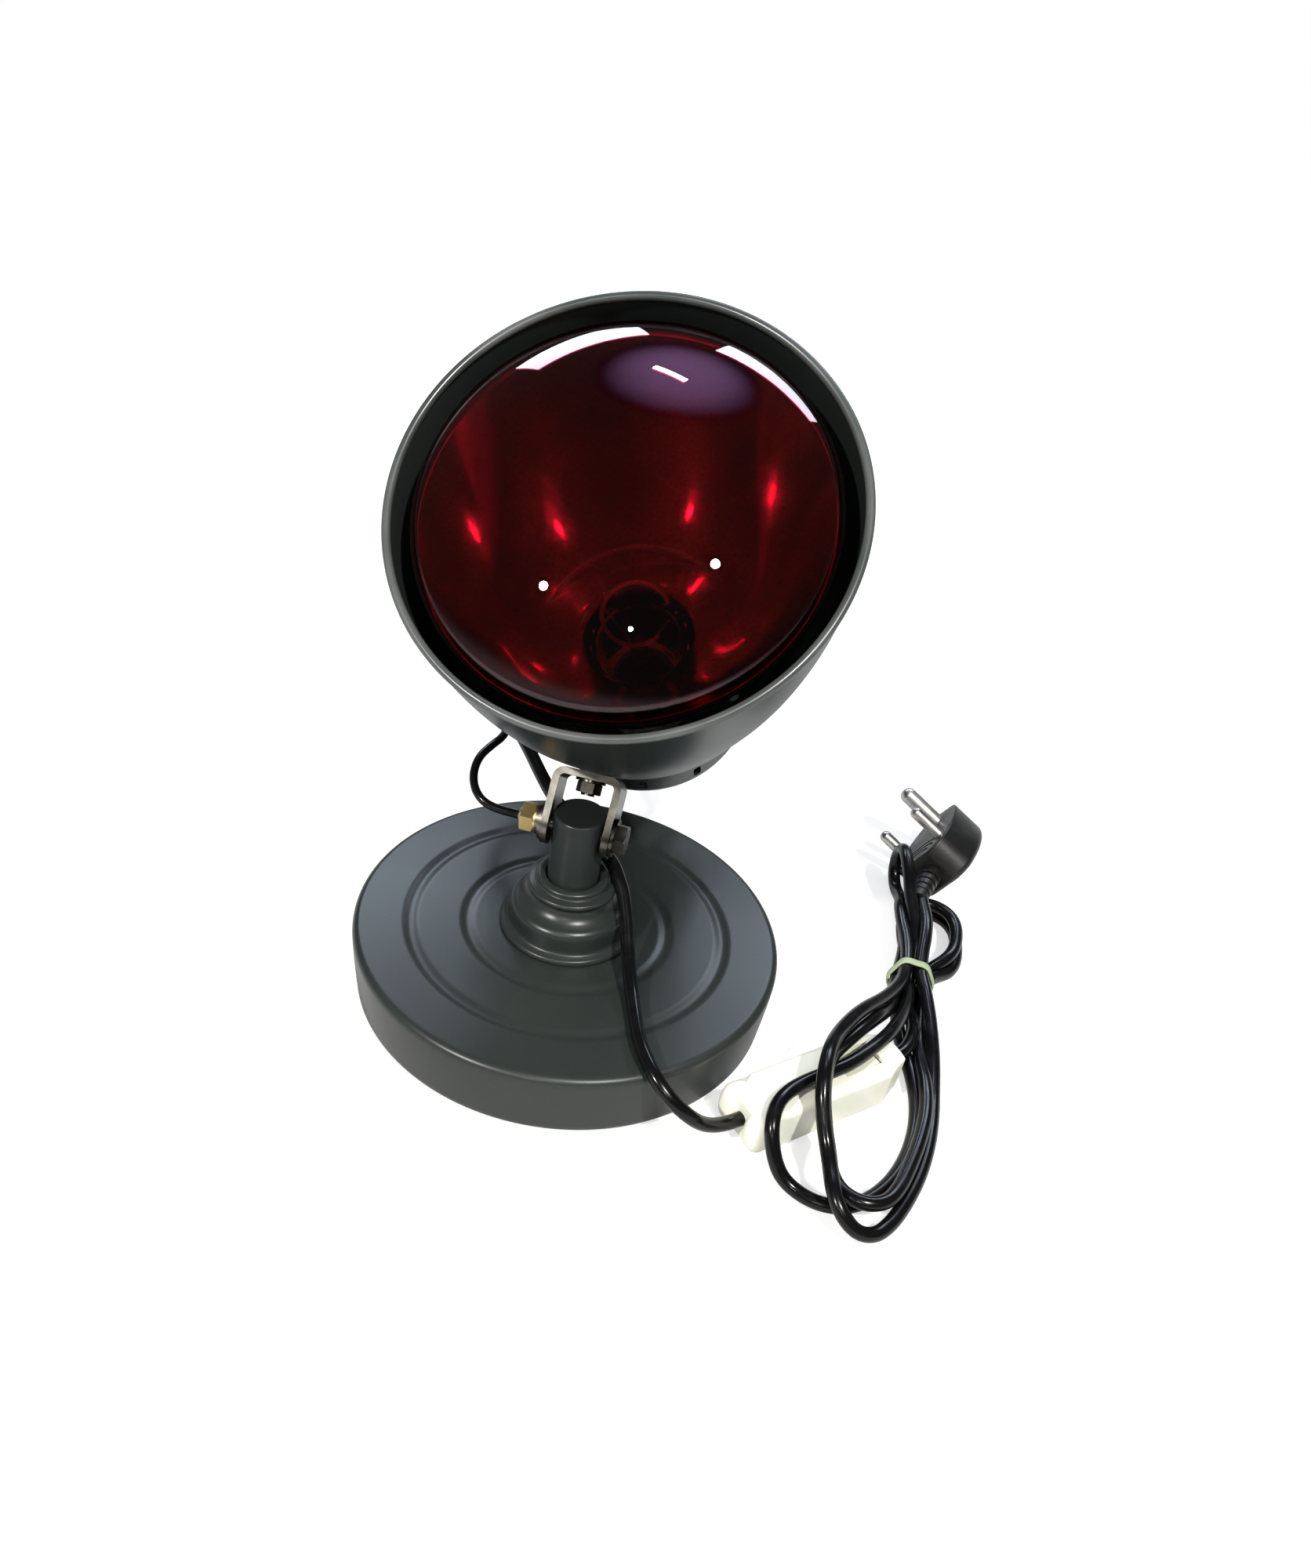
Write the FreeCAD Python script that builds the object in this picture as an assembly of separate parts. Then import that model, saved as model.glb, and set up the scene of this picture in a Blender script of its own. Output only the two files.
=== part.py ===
import FreeCAD, Part
import math
import os

V = FreeCAD.Vector
UP = V(0, 0, 1)
ALONG_X = V(1, 0, 0)
ALONG_Y = V(0, 1, 0)
ORIGIN = V(0, 0, 0)

# ---------------------------------------------------------------- driving dimensions (mm)
# Base: a pressed steel shell over a cast ballast disc, on a full-width pad.
base_radius = 80.0
base_height = 27.0
base_edge_round = 2.5
base_wall = 1.5
base_rim_lift = 1.0
pad_thickness = 2.5
groove_radii = (60.0, 36.5)
groove_width = 1.6
groove_depth = 0.5
ballast_clearance = 0.5
ballast_round = 3.0
ballast_floor = 12.0
ballast_well_clearance = 1.0

# Collar: a spun dome that covers the foot of the post.
collar_foot_radius = 26.0
collar_foot_height = 2.0
collar_dome_radius = 24.0
collar_dome_top = 44.0
collar_bead_radius = 16.0
collar_bead_top = 47.6
collar_ring_radius = 13.0
collar_ring_top = 50.4
collar_wall = 1.4
collar_post_clearance = 0.25
collar_under = 46.4
collar_throat_radius = 13.4
collar_dome_turn = 34.0
collar_foot_round = 0.9
collar_cove = 0.6
collar_bead_height = 2.2
collar_bead_round = 0.9
collar_ring_round = 1.0

# Post: a turned bar with a foot flange.
post_radius = 9.5
post_top = 78.0
post_chamfer = 0.8
post_foot_radius = 18.0
post_foot_height = 5.0
post_screw_radius = 4.0
post_screw_length = 34.0
post_screw_head_radius = 6.5
post_screw_head_height = 5.0
post_washer_radius = 10.0
post_washer_thickness = 1.6
post_fillet = 1.0
post_thread_relief = 2.0
post_screw_clearance = 0.4
post_washer_clearance = 0.3
post_thread_clearance = 0.05
post_socket_flats = 6.0
post_socket_depth = 3.0

# Tilt pivot: one bolt through the post, an ear on each side.
pivot_height = 71.0
pivot_radius = 3.0
pivot_running = 0.05
pivot_hole_clearance = 0.1
pivot_washer_radius = 7.0
pivot_washer_thickness = 1.2
pivot_head_flats = 10.0
pivot_head_height = 4.0
pivot_nut_height = 5.0
pivot_thread_end = 1.2
spring_washer_radius = 5.4
spring_washer_thickness = 1.5
spring_split = 0.7
spring_split_height = 0.8
spring_split_tilt = 18.0
thread_end_chamfer = 0.6
thread_clearance = 0.03
cut_overrun = 1.0
ear_side_clearance = 0.1
terminal_thickness = 0.8
terminal_ring_radius = 5.4
terminal_barrel_radius = 2.0
terminal_barrel_length = 8.0
terminal_offset = 8.3
terminal_angle = -40.0
terminal_tongue_width = 5.0
terminal_tongue_overlap = 1.2
terminal_wire_stop = 2.5
terminal_wire_clearance = 0.02
terminal_wire_reach = 4.0

# Yoke: an inverted U of strip, bolted to the shade.
yoke_angle = 35.0
yoke_gap = 20.0
yoke_strip = 2.5
yoke_width = 16.0
yoke_reach = 20.5
yoke_bend = 2.0
yoke_bolt_radius = 2.5
yoke_bolt_hole_clearance = 0.25
yoke_bolt_end = 12.2
yoke_washer_radius = 5.5
yoke_washer_thickness = 1.0
yoke_washer_clearance = 0.15
yoke_nut_flats = 8.0
yoke_nut_height = 4.0
yoke_head_radius = 4.6
yoke_head_height = 3.3
seat_sagitta = 0.32

# Shade: a spun shell whose axis leans back; depths are measured behind the mouth.
shade_lean = 40.0
mouth_radius = 73.0
mouth_bead = 1.3
shade_wall = 1.2
mouth_slope = 3.0
belly_length = 62.0
cone_slope = 15.0
cone_length = 34.0
shoulder_slope = 35.0
shoulder_length = 11.8
neck_radius = 43.0
back_round = 10.0
shade_depth = 154.0
seat_depth = 83.0
vent_count = 12
vent_length = 9.0
vent_width = 3.2
vent_margin = 1.5
vent_cut_depth = 8.0
vent_cut_start = 39.0

# Shapes shared by every nut and screw.
hexagon_bevel_share = 0.12
hexagon_face_share = 0.51
screw_crown_share = 0.45
screw_top_share = 0.72
screw_recess_share = 0.45

# Rear cap, gland and the fixings on the flat back.
cap_radius = 27.0
cap_depth = 19.0
cap_round = 4.5
cap_wall = 1.3
cap_flange_radius = 31.0
cap_flange_thickness = 1.2
cap_screw_ring = 29.0
cap_vent_count = 8
cap_vent_radius = 1.6
cap_vent_ring = 14.0
cap_screw_head_radius = 1.9
small_screw_radius = 1.5
small_screw_length = 5.0
small_screw_clearance = 0.1
small_head_height = 1.8
gland_depth = 164.0
gland_radius = 6.0
gland_length = 9.0
gland_face = cap_radius + gland_length + 0.1
gland_wire_offset = 3.9
gland_entry_clearance = 0.1
gland_inside_length = 4.5
gland_collar_length = 2.5
gland_collar_sink = 0.3
gland_hood_radius = 7.6
gland_tip_radius = 5.4
gland_nut_flats = 14.0
gland_nut_height = 3.0
gland_nut_gap = 0.4

# Lampholder and bulb.
holder_radius = 18.6
holder_front_depth = 131.0
holder_rear_radius = 15.0
holder_rear_depth = 166.0
holder_hole_clearance = 0.6
screw_shell_radius = 13.5
screw_shell_wall = 0.4
screw_shell_lip = 1.5
screw_shell_lip_height = 1.0
screw_shell_end_depth = 156.4
holder_round = 1.5
holder_front_round = 2.0
holder_bore_radius = 15.1
holder_bore_round = 1.0
holder_floor_depth = 157.6
terminal_notch_width = 7.4
terminal_notch_length = 6.0
terminal_notch_height = 6.8
terminal_notch_place = 14.0
terminal_screw_radius = 1.6
terminal_screw_length = 4.0
terminal_screw_head_radius = 2.9
terminal_screw_rise = 3.4
terminal_screw_place = 13.1
terminal_screw_clearance = 0.1
contact_leaf_half_length = 9.0
contact_leaf_half_width = 3.0
contact_leaf_thickness = 0.4
contact_rise_half_length = 4.0
contact_rise_top = 0.6
contact_rivet_radius = 1.6
contact_rivet_height = 0.8
contact_rivet_place = 6.5
strap_width = 14.0
strap_thickness = 1.2
strap_foot_reach = 23.5
strap_screw_ring = 21.0
strap_angle = 45.0
strap_side_clearance = 0.4
strap_back_clearance = 0.1
strap_outer_bend = 2.0
strap_inner_bend = 0.8
strap_screw_head_radius = 2.4
bulb_apex = 13.0
bulb_face_run = 17.75
bulb_face_slope = -56.7
bulb_edge_run = 7.3
bulb_body_slope = 12.0
bulb_body_run = 48.0
bulb_waist_slope = 33.0
bulb_waist_run = 26.0
bulb_throat_slope = 40.0
bulb_throat_run = 14.0
bulb_neck_slope = 4.0
bulb_neck_run = 28.0
bulb_glass_wall = 1.0
bulb_mirror_gap = 0.1
bulb_mirror_wall = 0.3
bulb_cap_radius = 13.0
bulb_cap_wall = 0.4
bulb_cap_length = 22.0
bulb_cap_depth = 130.0
bulb_cap_lip = 0.6
bulb_cap_flare = 0.3
bulb_cap_end_radius = 8.4
bulb_cap_end_height = 3.0
bulb_seal_gap = 0.15
bulb_seal_start = 1.9
bulb_seal_end = 5.0
insulator_gap = 0.1
insulator_top = 1.2
insulator_rim_radius = 7.8
insulator_rim_height = 2.5
insulator_end_height = 4.2
contact_button_radius = 5.0
contact_button_inset = 0.1
contact_button_base = 2.4
contact_button_edge = 4.0
contact_button_height = 4.9
contact_button_turn = 21.0
stem_foot_depth = 132.0
stem_flare_gap = 0.25
stem_flare_height = 0.8
stem_body_height = 8.0
stem_body_radius = 4.0
stem_pinch_radius = 3.4
stem_tip_radius = 1.8
stem_tip_round = 1.6
lead_wire_radius = 0.5
lead_wire_root = 6.0
lead_wire_spread = 2.2
stem_top_depth = 96.0
filament_depth = 72.0
filament_radius = 12.0
filament_wire = 0.8

# Cords: a round mains lead and a thin bonding wire.
lead_diameter = 5.2
wire_diameter = 2.7
bend_share = 0.45
lead_clearance = 0.05
lead_grip_clearance = 0.02
hank_loops_diameter = 8.8
hank_fold_diameter = 10.8
waist_near = 36.0
waist_far = 49.0
tie_near = 41.2
tie_far = 43.6
waist_outline = [(124.0, 1.2), (141.0, 1.2), (143.0, 3.2, 90), (143.0, 9.0), (136.0, 16.5, 60), (130.0, 16.5),
                 (123.0, 9.0, 60), (122.0, 3.2)]
tie_outline = [(124.0, 0.0), (141.0, 0.0), (144.2, 3.2, 90), (144.2, 9.4), (136.4, 17.7, 60), (129.6, 17.7),
               (121.8, 9.4, 60), (120.8, 3.2)]

# In-line switch, lying on the surface; its own X runs from the lamp side to the plug side.
switch_centre = V(104.75, -30.0, 0)
switch_turn = 45.9
switch_length = 67.0
switch_width = 22.0
switch_end_width = 13.0
switch_height = 17.0
switch_parting = 8.5
switch_wall = 1.7
switch_edge_round = 2.2
rocker_centre = 15.5
rocker_pivot_height = 12.2
rocker_sweep_radius = 8.2
rocker_width = 10.0
rocker_rise = 3.6
rocker_facet_angle = 6.0
rocker_skirt = 4.6
rocker_pin_radius = 1.2
rocker_side_clearance = 0.35
switch_screw_place = 27.2
switch_screw_offset = 5.0
switch_screw_radius = 1.3
switch_screw_head_radius = 2.2
switch_boss_radius = 2.7
switch_lead_depth = 5.5
switch_shoulder = 10.0
switch_side_turn = -12.0
switch_end_turn = 30.0
switch_base_chamfer = 0.8
switch_lead_end = 2.0
switch_lead_out = 5.6
switch_lead_in = 6.0
window_clearance = 0.4
window_depth = 5.0
rocker_ear_length = 6.0
rocker_ear_thickness = 2.0
rocker_ear_gap = 0.2
rocker_pin_grip = 1.6
rocker_pin_clearance = 0.05
rocker_ear_clearance = 0.02
rocker_pin_end_gap = 0.3
rocker_hollow_length = 9.0
rocker_hollow_wall = 1.5
rocker_hollow_height = 2.8
switch_screw_depth = 6.0
switch_screw_length = 11.0
switch_screw_seat = 2.6
switch_screw_head_height = 1.8
switch_screw_clearance = 0.2
switch_thread_clearance = 0.03
terminal_block_size = V(7.0, 4.2, 5.0)
terminal_block_places = ((3.0, 5.2), (3.0, -5.2), (-12.0, 5.2), (-12.0, -5.2))
terminal_block_screw_radius = 1.1
terminal_block_screw_rise = 2.0
contact_strip_size = V(12.0, 3.4, 0.6)
contact_strip_height = 3.0
contact_strip_start = 7.0
contact_strip_offset = 4.6

# Plug: three round pins, two of 5.1 mm and a longer earth pin.
plug_pin_radius = 2.54
plug_pin_length = 15.9
plug_pin_spacing = 19.05
earth_pin_radius = 3.53
earth_pin_length = 20.6
earth_pin_offset = 22.2
pin_root_depth = 6.0
pin_root_head = 1.5
pin_root_share = 0.7
pin_tip_share = 0.4
plug_thickness = 18.0
plug_half_width = 15.5
plug_earth_half_width = 9.0
plug_top = 29.0
plug_bottom = 13.0
plug_shoulder_place = -8.0
plug_waist_half_width = 14.5
plug_waist_place = 6.0
plug_end_half_width = 6.5
plug_edge_round = 3.0
plug_corner_round = 3.5
plug_face_round = 0.8
grip_first_radius = 9.0
grip_pitch = 3.2
grip_width = 1.4
grip_depth = 0.5
grip_foot = 2.0
grip_span = 1.3
guard_length = 21.0
guard_root_radius = 5.0
guard_tip_radius = 3.6
guard_inset = 1.0
guard_groove_count = 4
guard_groove_first = 4.0
guard_groove_pitch = 3.8
guard_groove_width = 1.3
guard_groove_floor = 3.5
guard_grip = 10.0
guard_lead_end = 6.0
plug_origin = V(129.0, 118.0, 20.6)
plug_pin_direction = V(-0.857, 0.177, 0.466)
plug_cord_direction = V(-0.174, -0.985, -0.012)

# ---------------------------------------------------------------- placed points
pivot = V(0, 0, pivot_height)
yoke_rise = V(0, math.sin(math.radians(yoke_angle)), math.cos(math.radians(yoke_angle)))
shade_forward = V(0, -math.sin(math.radians(shade_lean)), math.cos(math.radians(shade_lean)))
shade_below = V(0, -shade_forward.z, shade_forward.y)
ear_inner = yoke_gap / 2
ear_outer = ear_inner + yoke_strip


def bend(station, run, slope):
    """Next station (depth, radius, slope) after a run that bends evenly to the given slope."""
    depth, radius, before = station
    return depth + run, radius - run * math.tan(math.radians((before + slope) / 2)), slope


lip_depth = mouth_bead + math.sqrt(mouth_bead ** 2 - shade_wall ** 2 / 4)
shade_stations = [(lip_depth, mouth_radius - mouth_bead + shade_wall / 2, mouth_slope)]
shade_stations.append(bend(shade_stations[-1], belly_length - lip_depth, cone_slope))
shade_stations.append(bend(shade_stations[-1], cone_length, cone_slope))
shade_stations.append(bend(shade_stations[-1], shoulder_length, shoulder_slope))
flare_run = (shade_stations[-1][1] - neck_radius) / math.tan(math.radians(shoulder_slope / 2))
shade_stations.append(bend(shade_stations[-1], flare_run, 0))
shade_stations.append((shade_depth - back_round, neck_radius, 0))
shade_stations.append((shade_depth, neck_radius - back_round, 90))
seat_station = bend(shade_stations[1], seat_depth - belly_length, cone_slope)
mouth_centre = pivot + yoke_rise * yoke_reach + shade_forward * seat_depth - shade_below * seat_station[1]

# Routes of the cords. Their points are chosen by hand: a free cord lies as it was laid.
def gland_point(out, off_axis):
    """Point on the line out of the gland, a distance from the cap's axis and off the gland's middle."""
    return mouth_centre - shade_forward * gland_depth + V(-out, 0, 0) - shade_below * off_axis


lead_joint = V(16.5, 4.2, 50.1)
lead_upper_route = [
    gland_point(gland_face, 0), V(-44, 106.8, 63.6), V(-52, 102, 66), V(-57.4, 94.8, 68.6), V(-59.2, 86.2, 70.6),
    V(-57.6, 77.2, 71.6), V(-52.8, 68.8, 71.4), V(-46.4, 61, 70.2), V(-39.6, 53.4, 68.6), V(-33, 45.4, 67.2),
    V(-26.8, 37.2, 65.8), V(-20, 29.4, 63.6), V(-12, 22.4, 60.8), V(-3.2, 17.2, 58), V(6, 13.6, 55.2),
    V(13.2, 8.6, 52.5), lead_joint]
lead_lower_route = [
    lead_joint, V(19.8, -0.2, 47.7), V(24.2, -8.8, 41.4), V(28, -18.6, 35.2), V(32.2, -29, 31.2),
    V(36.6, -40, 29.9), V(40.4, -50, 30), V(44.2, -57.8, 30.6), V(49.6, -65.2, 29.4), V(56.8, -69.8, 25.4),
    V(64.4, -69.8, 19.6), V(70.6, -65.4, 12.6)]
wire_route = [
    V(-26.4, 6.2, 65.8), V(-33, 5.4, 66.4), V(-38.8, 5.8, 67.9), V(-43.4, 9.4, 70.2), V(-46.2, 15.6, 72.8),
    V(-46.6, 23, 75.1), V(-44.4, 30.6, 76.2), V(-42.6, 38.4, 75.8), V(-43.6, 46.6, 75.2), V(-47.4, 54.8, 75.4),
    V(-52.6, 63, 76.2), V(-57.8, 71.6, 76.8), V(-61.6, 81.4, 76.6), V(-61.6, 91.8, 75), V(-57.4, 101.2, 72.6),
    V(-50, 108, 69.6), V(-42.6, 110.6, 66.6), gland_point(gland_face, gland_wire_offset)]
hank_loops_route = [
    V(130.5, 38, 8.5), V(127.4, 21.4, 13.8), V(121, 5, 21.6), V(113.5, -10, 23.4), V(106, -27, 23.4),
    V(101.5, -42, 23.2), V(97, -55, 21.4), V(95.2, -65, 14.2), V(99, -73, 7.6), V(110, -79, 5.4),
    V(123, -78, 5.2), V(133, -66, 5.2), V(139.6, -49, 5.2), V(144, -29, 5.2), V(145, -9, 5.2),
    V(142, 11, 5.6), V(138.6, 25, 6.6), V(136.5, 38, 8)]
hank_fold_route = [V(130, 49, 9), V(126.6, 63, 10), V(122.6, 78, 12.4), V(119.4, 92, 15.6), V(116.6, 105, 19)]
supply_start_route = [V(136, 5, 8.4), V(138.4, 12.4, 8)]
supply_end_route = [V(130.4, 72.2, 17.2), V(132.5, 60.4, 16.5), V(133.4, 48.8, 14)]
side_loop_route = [
    V(129, 97, 2.8), V(136, 94, 2.8), V(142, 88.6, 2.8), V(146, 81, 2.8), V(147.2, 72.4, 3.2),
    V(146, 64, 4.2), V(142.6, 55.8, 5.8), V(138.2, 48.9, 7.4)]

PARTS = {}


def keep(name, shape):
    """Record a finished sub-part under its node name."""
    PARTS[name] = shape


# ---------------------------------------------------------------- ways of making a form
def sound(solid):
    """The same solid with its faces outwards."""
    if solid.Volume < 0:
        return solid.reversed()
    return solid


def edge_to(here, there, turn, across):
    """A straight edge, or an arc that turns left by `turn` degrees as seen from the tip of `across`."""
    if not turn:
        return Part.makeLine(here, there)
    chord = there - here
    out = chord.cross(across)
    middle = (here + there) * 0.5 + out * (math.tan(math.radians(turn / 4)) / 2)
    return Part.Arc(here, middle, there).toShape()


def closed_wire(points, across):
    """Closed wire through (point, turn) pairs; turn is the bend of the edge that arrives at the point."""
    edges = []
    for (here, _), (there, turn) in zip(points, points[1:] + points[:1]):
        edges.append(edge_to(here, there, turn, across))
    return Part.Wire(edges)


def turned(*steps):
    """Solid of revolution about Z from steps (radius, height) or (radius, height, turn of the arc that arrives)."""
    points = [(V(step[0], 0, step[1]), step[2] if len(step) > 2 else 0) for step in steps]
    face = Part.Face(closed_wire(points, V(0, -1, 0)))
    return sound(face.revolve(ORIGIN, UP, 360))


def prism(steps, bottom, top):
    """Upright prism over an outline of steps (x, y) or (x, y, turn)."""
    points = [(V(step[0], step[1], bottom), step[2] if len(step) > 2 else 0) for step in steps]
    return sound(Part.Face(closed_wire(points, UP)).extrude(V(0, 0, top - bottom)))


def wall_profile(stations, outer_skin, inner_skin, tail=()):
    """Steps of a spun wall: down the outer skin, round the tail, and back up the inner skin.

    Each skin lies inside the stations by its own amount, square to the wall.
    """
    def skin(amount):
        places = []
        for depth, radius, slope in stations:
            lean = math.radians(slope)
            places.append((radius - amount * math.cos(lean), amount * math.sin(lean) - depth, slope))
        return places
    outer = skin(outer_skin)
    inner = skin(inner_skin)[::-1]
    steps = [outer[0][:2]]
    for before, here in zip(outer, outer[1:]):
        steps.append((here[0], here[1], before[2] - here[2]))
    steps.extend(tail)
    steps.append(inner[0][:2])
    for before, here in zip(inner, inner[1:]):
        steps.append((here[0], here[1], before[2] - here[2]))
    return steps


def cylinder(radius, length, start=ORIGIN, direction=UP):
    return Part.makeCylinder(radius, length, start, direction)


def ring(outer, inner, thickness, start=ORIGIN, direction=UP):
    hole = cylinder(inner, thickness, start, direction)
    return cylinder(outer, thickness, start, direction).cut(hole)


def hexagon(flats, height, start=ORIGIN, direction=UP):
    """Hexagonal prism with its corners turned away at both ends."""
    across = V(0, 1, 0) if abs(direction.y) < 0.9 else ALONG_X
    side = direction.cross(across).normalize()
    across = side.cross(direction)
    corner = flats / math.sqrt(3)
    ring_points = []
    for index in range(7):
        angle = math.radians(60 * index)
        ring_points.append(start + side * (corner * math.cos(angle)) + across * (corner * math.sin(angle)))
    block = Part.Face(Part.makePolygon(ring_points)).extrude(direction * height)
    bevel = hexagon_bevel_share * flats
    small = hexagon_face_share * flats
    barrel = Part.makeCone(small, small + bevel, bevel / 2, start, direction)
    barrel = barrel.fuse(cylinder(small + bevel, height - bevel, start + direction * (bevel / 2), direction))
    barrel = barrel.fuse(Part.makeCone(small, small + bevel, bevel / 2, start + direction * height, direction * -1))
    return sound(block).common(barrel)


def pan_screw(shank, length, head, head_height, start, direction):
    """Screw whose head sits above `start` and whose shank runs on along `direction`."""
    top = start - direction * head_height
    crown = head_height * screw_crown_share
    dome = Part.makeCone(head * screw_top_share, head, crown, top, direction)
    body = cylinder(head, head_height - crown, top + direction * crown, direction)
    recess = cylinder(head * screw_recess_share, crown, top, direction)
    return dome.fuse(body).cut(recess).fuse(cylinder(shank, length, start, direction))


def group(*solids):
    return Part.makeCompound(list(solids))


def tube(name, points, diameter):
    """Round cord on straight runs joined by tangent arcs, as large as the runs allow."""
    edges = []
    radii = []
    leave = points[0]
    for before, here, after in zip(points, points[1:], points[2:]):
        back = before - here
        ahead = after - here
        tangent = bend_share * min(back.Length, ahead.Length)
        turn = math.pi - back.getAngle(ahead)
        radius = tangent / math.tan(turn / 2)
        back.normalize()
        ahead.normalize()
        inward = (back + ahead).normalize()
        centre = here + inward * (radius / math.cos(turn / 2))
        edges.append(Part.LineSegment(leave, here + back * tangent).toShape())
        leave = here + ahead * tangent
        edges.append(Part.Arc(here + back * tangent, centre - inward * radius, leave).toShape())
        radii.append(radius)
    edges.append(Part.LineSegment(leave, points[-1]).toShape())
    path = Part.Wire(edges)
    profile = Part.Wire(Part.makeCircle(diameter / 2, points[0], points[1] - points[0]))
    solid = sound(path.makePipeShell([profile], True, False))
    share = solid.Volume / (math.pi * diameter ** 2 / 4 * path.Length)
    print(f"{name}: length {path.Length:.0f}, smallest radius {min(radii):.1f}, volume share {share:.4f}")
    return solid


# ---------------------------------------------------------------- frames of the tilted groups
def on_shade(shape):
    """From the shade's own frame, mouth at z = 0 and opening upwards, to its place."""
    placed = shape.copy()
    placed.rotate(ORIGIN, ALONG_X, shade_lean)
    placed.translate(mouth_centre)
    return placed


def on_yoke(shape):
    """From the yoke's own frame, pivot at the origin and web above it, to its place."""
    placed = shape.copy()
    placed.rotate(ORIGIN, ALONG_X, -yoke_angle)
    placed.translate(pivot)
    return placed


def on_switch(shape):
    """From the switch's own frame, on the surface with its length along X, to its place."""
    placed = shape.copy()
    placed.rotate(ORIGIN, UP, switch_turn)
    placed.translate(switch_centre)
    return placed


def on_plug(shape):
    """From the plug's own frame, pins up Z and cord leaving along Y, to its place."""
    pins = V(plug_pin_direction).normalize()
    side = V(plug_cord_direction).cross(pins).normalize()
    cord = pins.cross(side)
    matrix = FreeCAD.Matrix(side.x, cord.x, pins.x, plug_origin.x,
                            side.y, cord.y, pins.y, plug_origin.y,
                            side.z, cord.z, pins.z, plug_origin.z, 0, 0, 0, 1)
    return shape.transformed(matrix)


# ---------------------------------------------------------------- base and post
def make_base():
    inner = base_radius - base_wall
    under = base_height - base_wall
    hole = post_screw_radius + post_screw_clearance
    shell = turned((hole, base_height), (hole, under),
                   (inner - base_edge_round + base_wall, under), (inner, under - base_edge_round + base_wall, -90),
                   (inner, base_rim_lift), (base_radius, base_rim_lift),
                   (base_radius, base_height - base_edge_round),
                   (base_radius - base_edge_round, base_height, 90))
    for radius in groove_radii:
        cutter = Part.makeTorus(radius, groove_width / 2, V(0, 0, base_height + groove_width / 2 - groove_depth))
        shell = shell.cut(cutter)
    keep("base_shell", shell)
    ballast_radius = inner - ballast_clearance
    well = post_washer_radius + ballast_well_clearance
    ballast = turned((hole, under), (hole, ballast_floor), (well, ballast_floor),
                     (well, pad_thickness), (ballast_radius, pad_thickness), (ballast_radius, under - ballast_round),
                     (ballast_radius - ballast_round, under, 90))
    keep("base_ballast", ballast)
    keep("base_pad", cylinder(ballast_radius, pad_thickness))


def make_post_screw():
    """Socket screw and washer that hold the post from under the ballast; returns the height of its end."""
    seat = ballast_floor - post_washer_thickness
    under_head = V(0, 0, seat - post_screw_head_height)
    washer_bore = post_screw_radius + post_washer_clearance
    keep("post_screw_washer", ring(post_washer_radius, washer_bore, post_washer_thickness, V(0, 0, seat)))
    head = cylinder(post_screw_head_radius, post_screw_head_height, under_head)
    socket = hexagon(post_socket_flats, post_socket_depth, under_head)
    shank = cylinder(post_screw_radius - post_thread_clearance, post_screw_length, V(0, 0, seat))
    keep("post_screw", head.cut(socket).fuse(shank))
    return seat + post_screw_length


def make_collar():
    """Foot ring, dome, bead and top ring, spun in one piece and open beneath."""
    foot_top = base_height + collar_foot_height
    hole = post_radius + collar_post_clearance
    inner = collar_dome_radius - collar_wall
    collar = turned((hole, collar_ring_top), (hole, collar_under), (collar_throat_radius, collar_under),
                    (collar_throat_radius, collar_dome_top), (inner, foot_top, -collar_dome_turn), (inner, base_height),
                    (collar_foot_radius, base_height), (collar_foot_radius, foot_top - collar_foot_round),
                    (collar_foot_radius - collar_foot_round, foot_top, 90), (collar_dome_radius + collar_cove, foot_top),
                    (collar_dome_radius, foot_top + collar_cove, -60),
                    (collar_bead_radius, collar_dome_top, collar_dome_turn),
                    (collar_bead_radius - collar_cove, collar_dome_top + collar_cove, -90),
                    (collar_bead_radius, collar_bead_top - collar_bead_height),
                    (collar_bead_radius - collar_bead_round, collar_bead_top, 120),
                    (collar_ring_radius + collar_cove, collar_bead_top),
                    (collar_ring_radius, collar_bead_top + collar_cove, -60),
                    (collar_ring_radius, collar_ring_top - collar_ring_round),
                    (collar_ring_radius - collar_ring_round, collar_ring_top, 90))
    keep("base_collar", collar)


def make_post(screw_top):
    foot_top = base_height + post_foot_height
    bore = post_screw_radius
    post = turned((0, post_top), (0, screw_top + post_thread_relief), (bore, screw_top), (bore, base_height),
                  (post_foot_radius, base_height), (post_foot_radius, foot_top), (post_radius + post_fillet, foot_top),
                  (post_radius, foot_top + post_fillet, -90), (post_radius, post_top - post_chamfer),
                  (post_radius - post_chamfer, post_top, 60))
    reach = post_radius + cut_overrun
    across = cylinder(pivot_radius + pivot_hole_clearance, 2 * reach, V(-reach, 0, pivot_height), ALONG_X)
    keep("post", post.cut(across))


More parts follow.
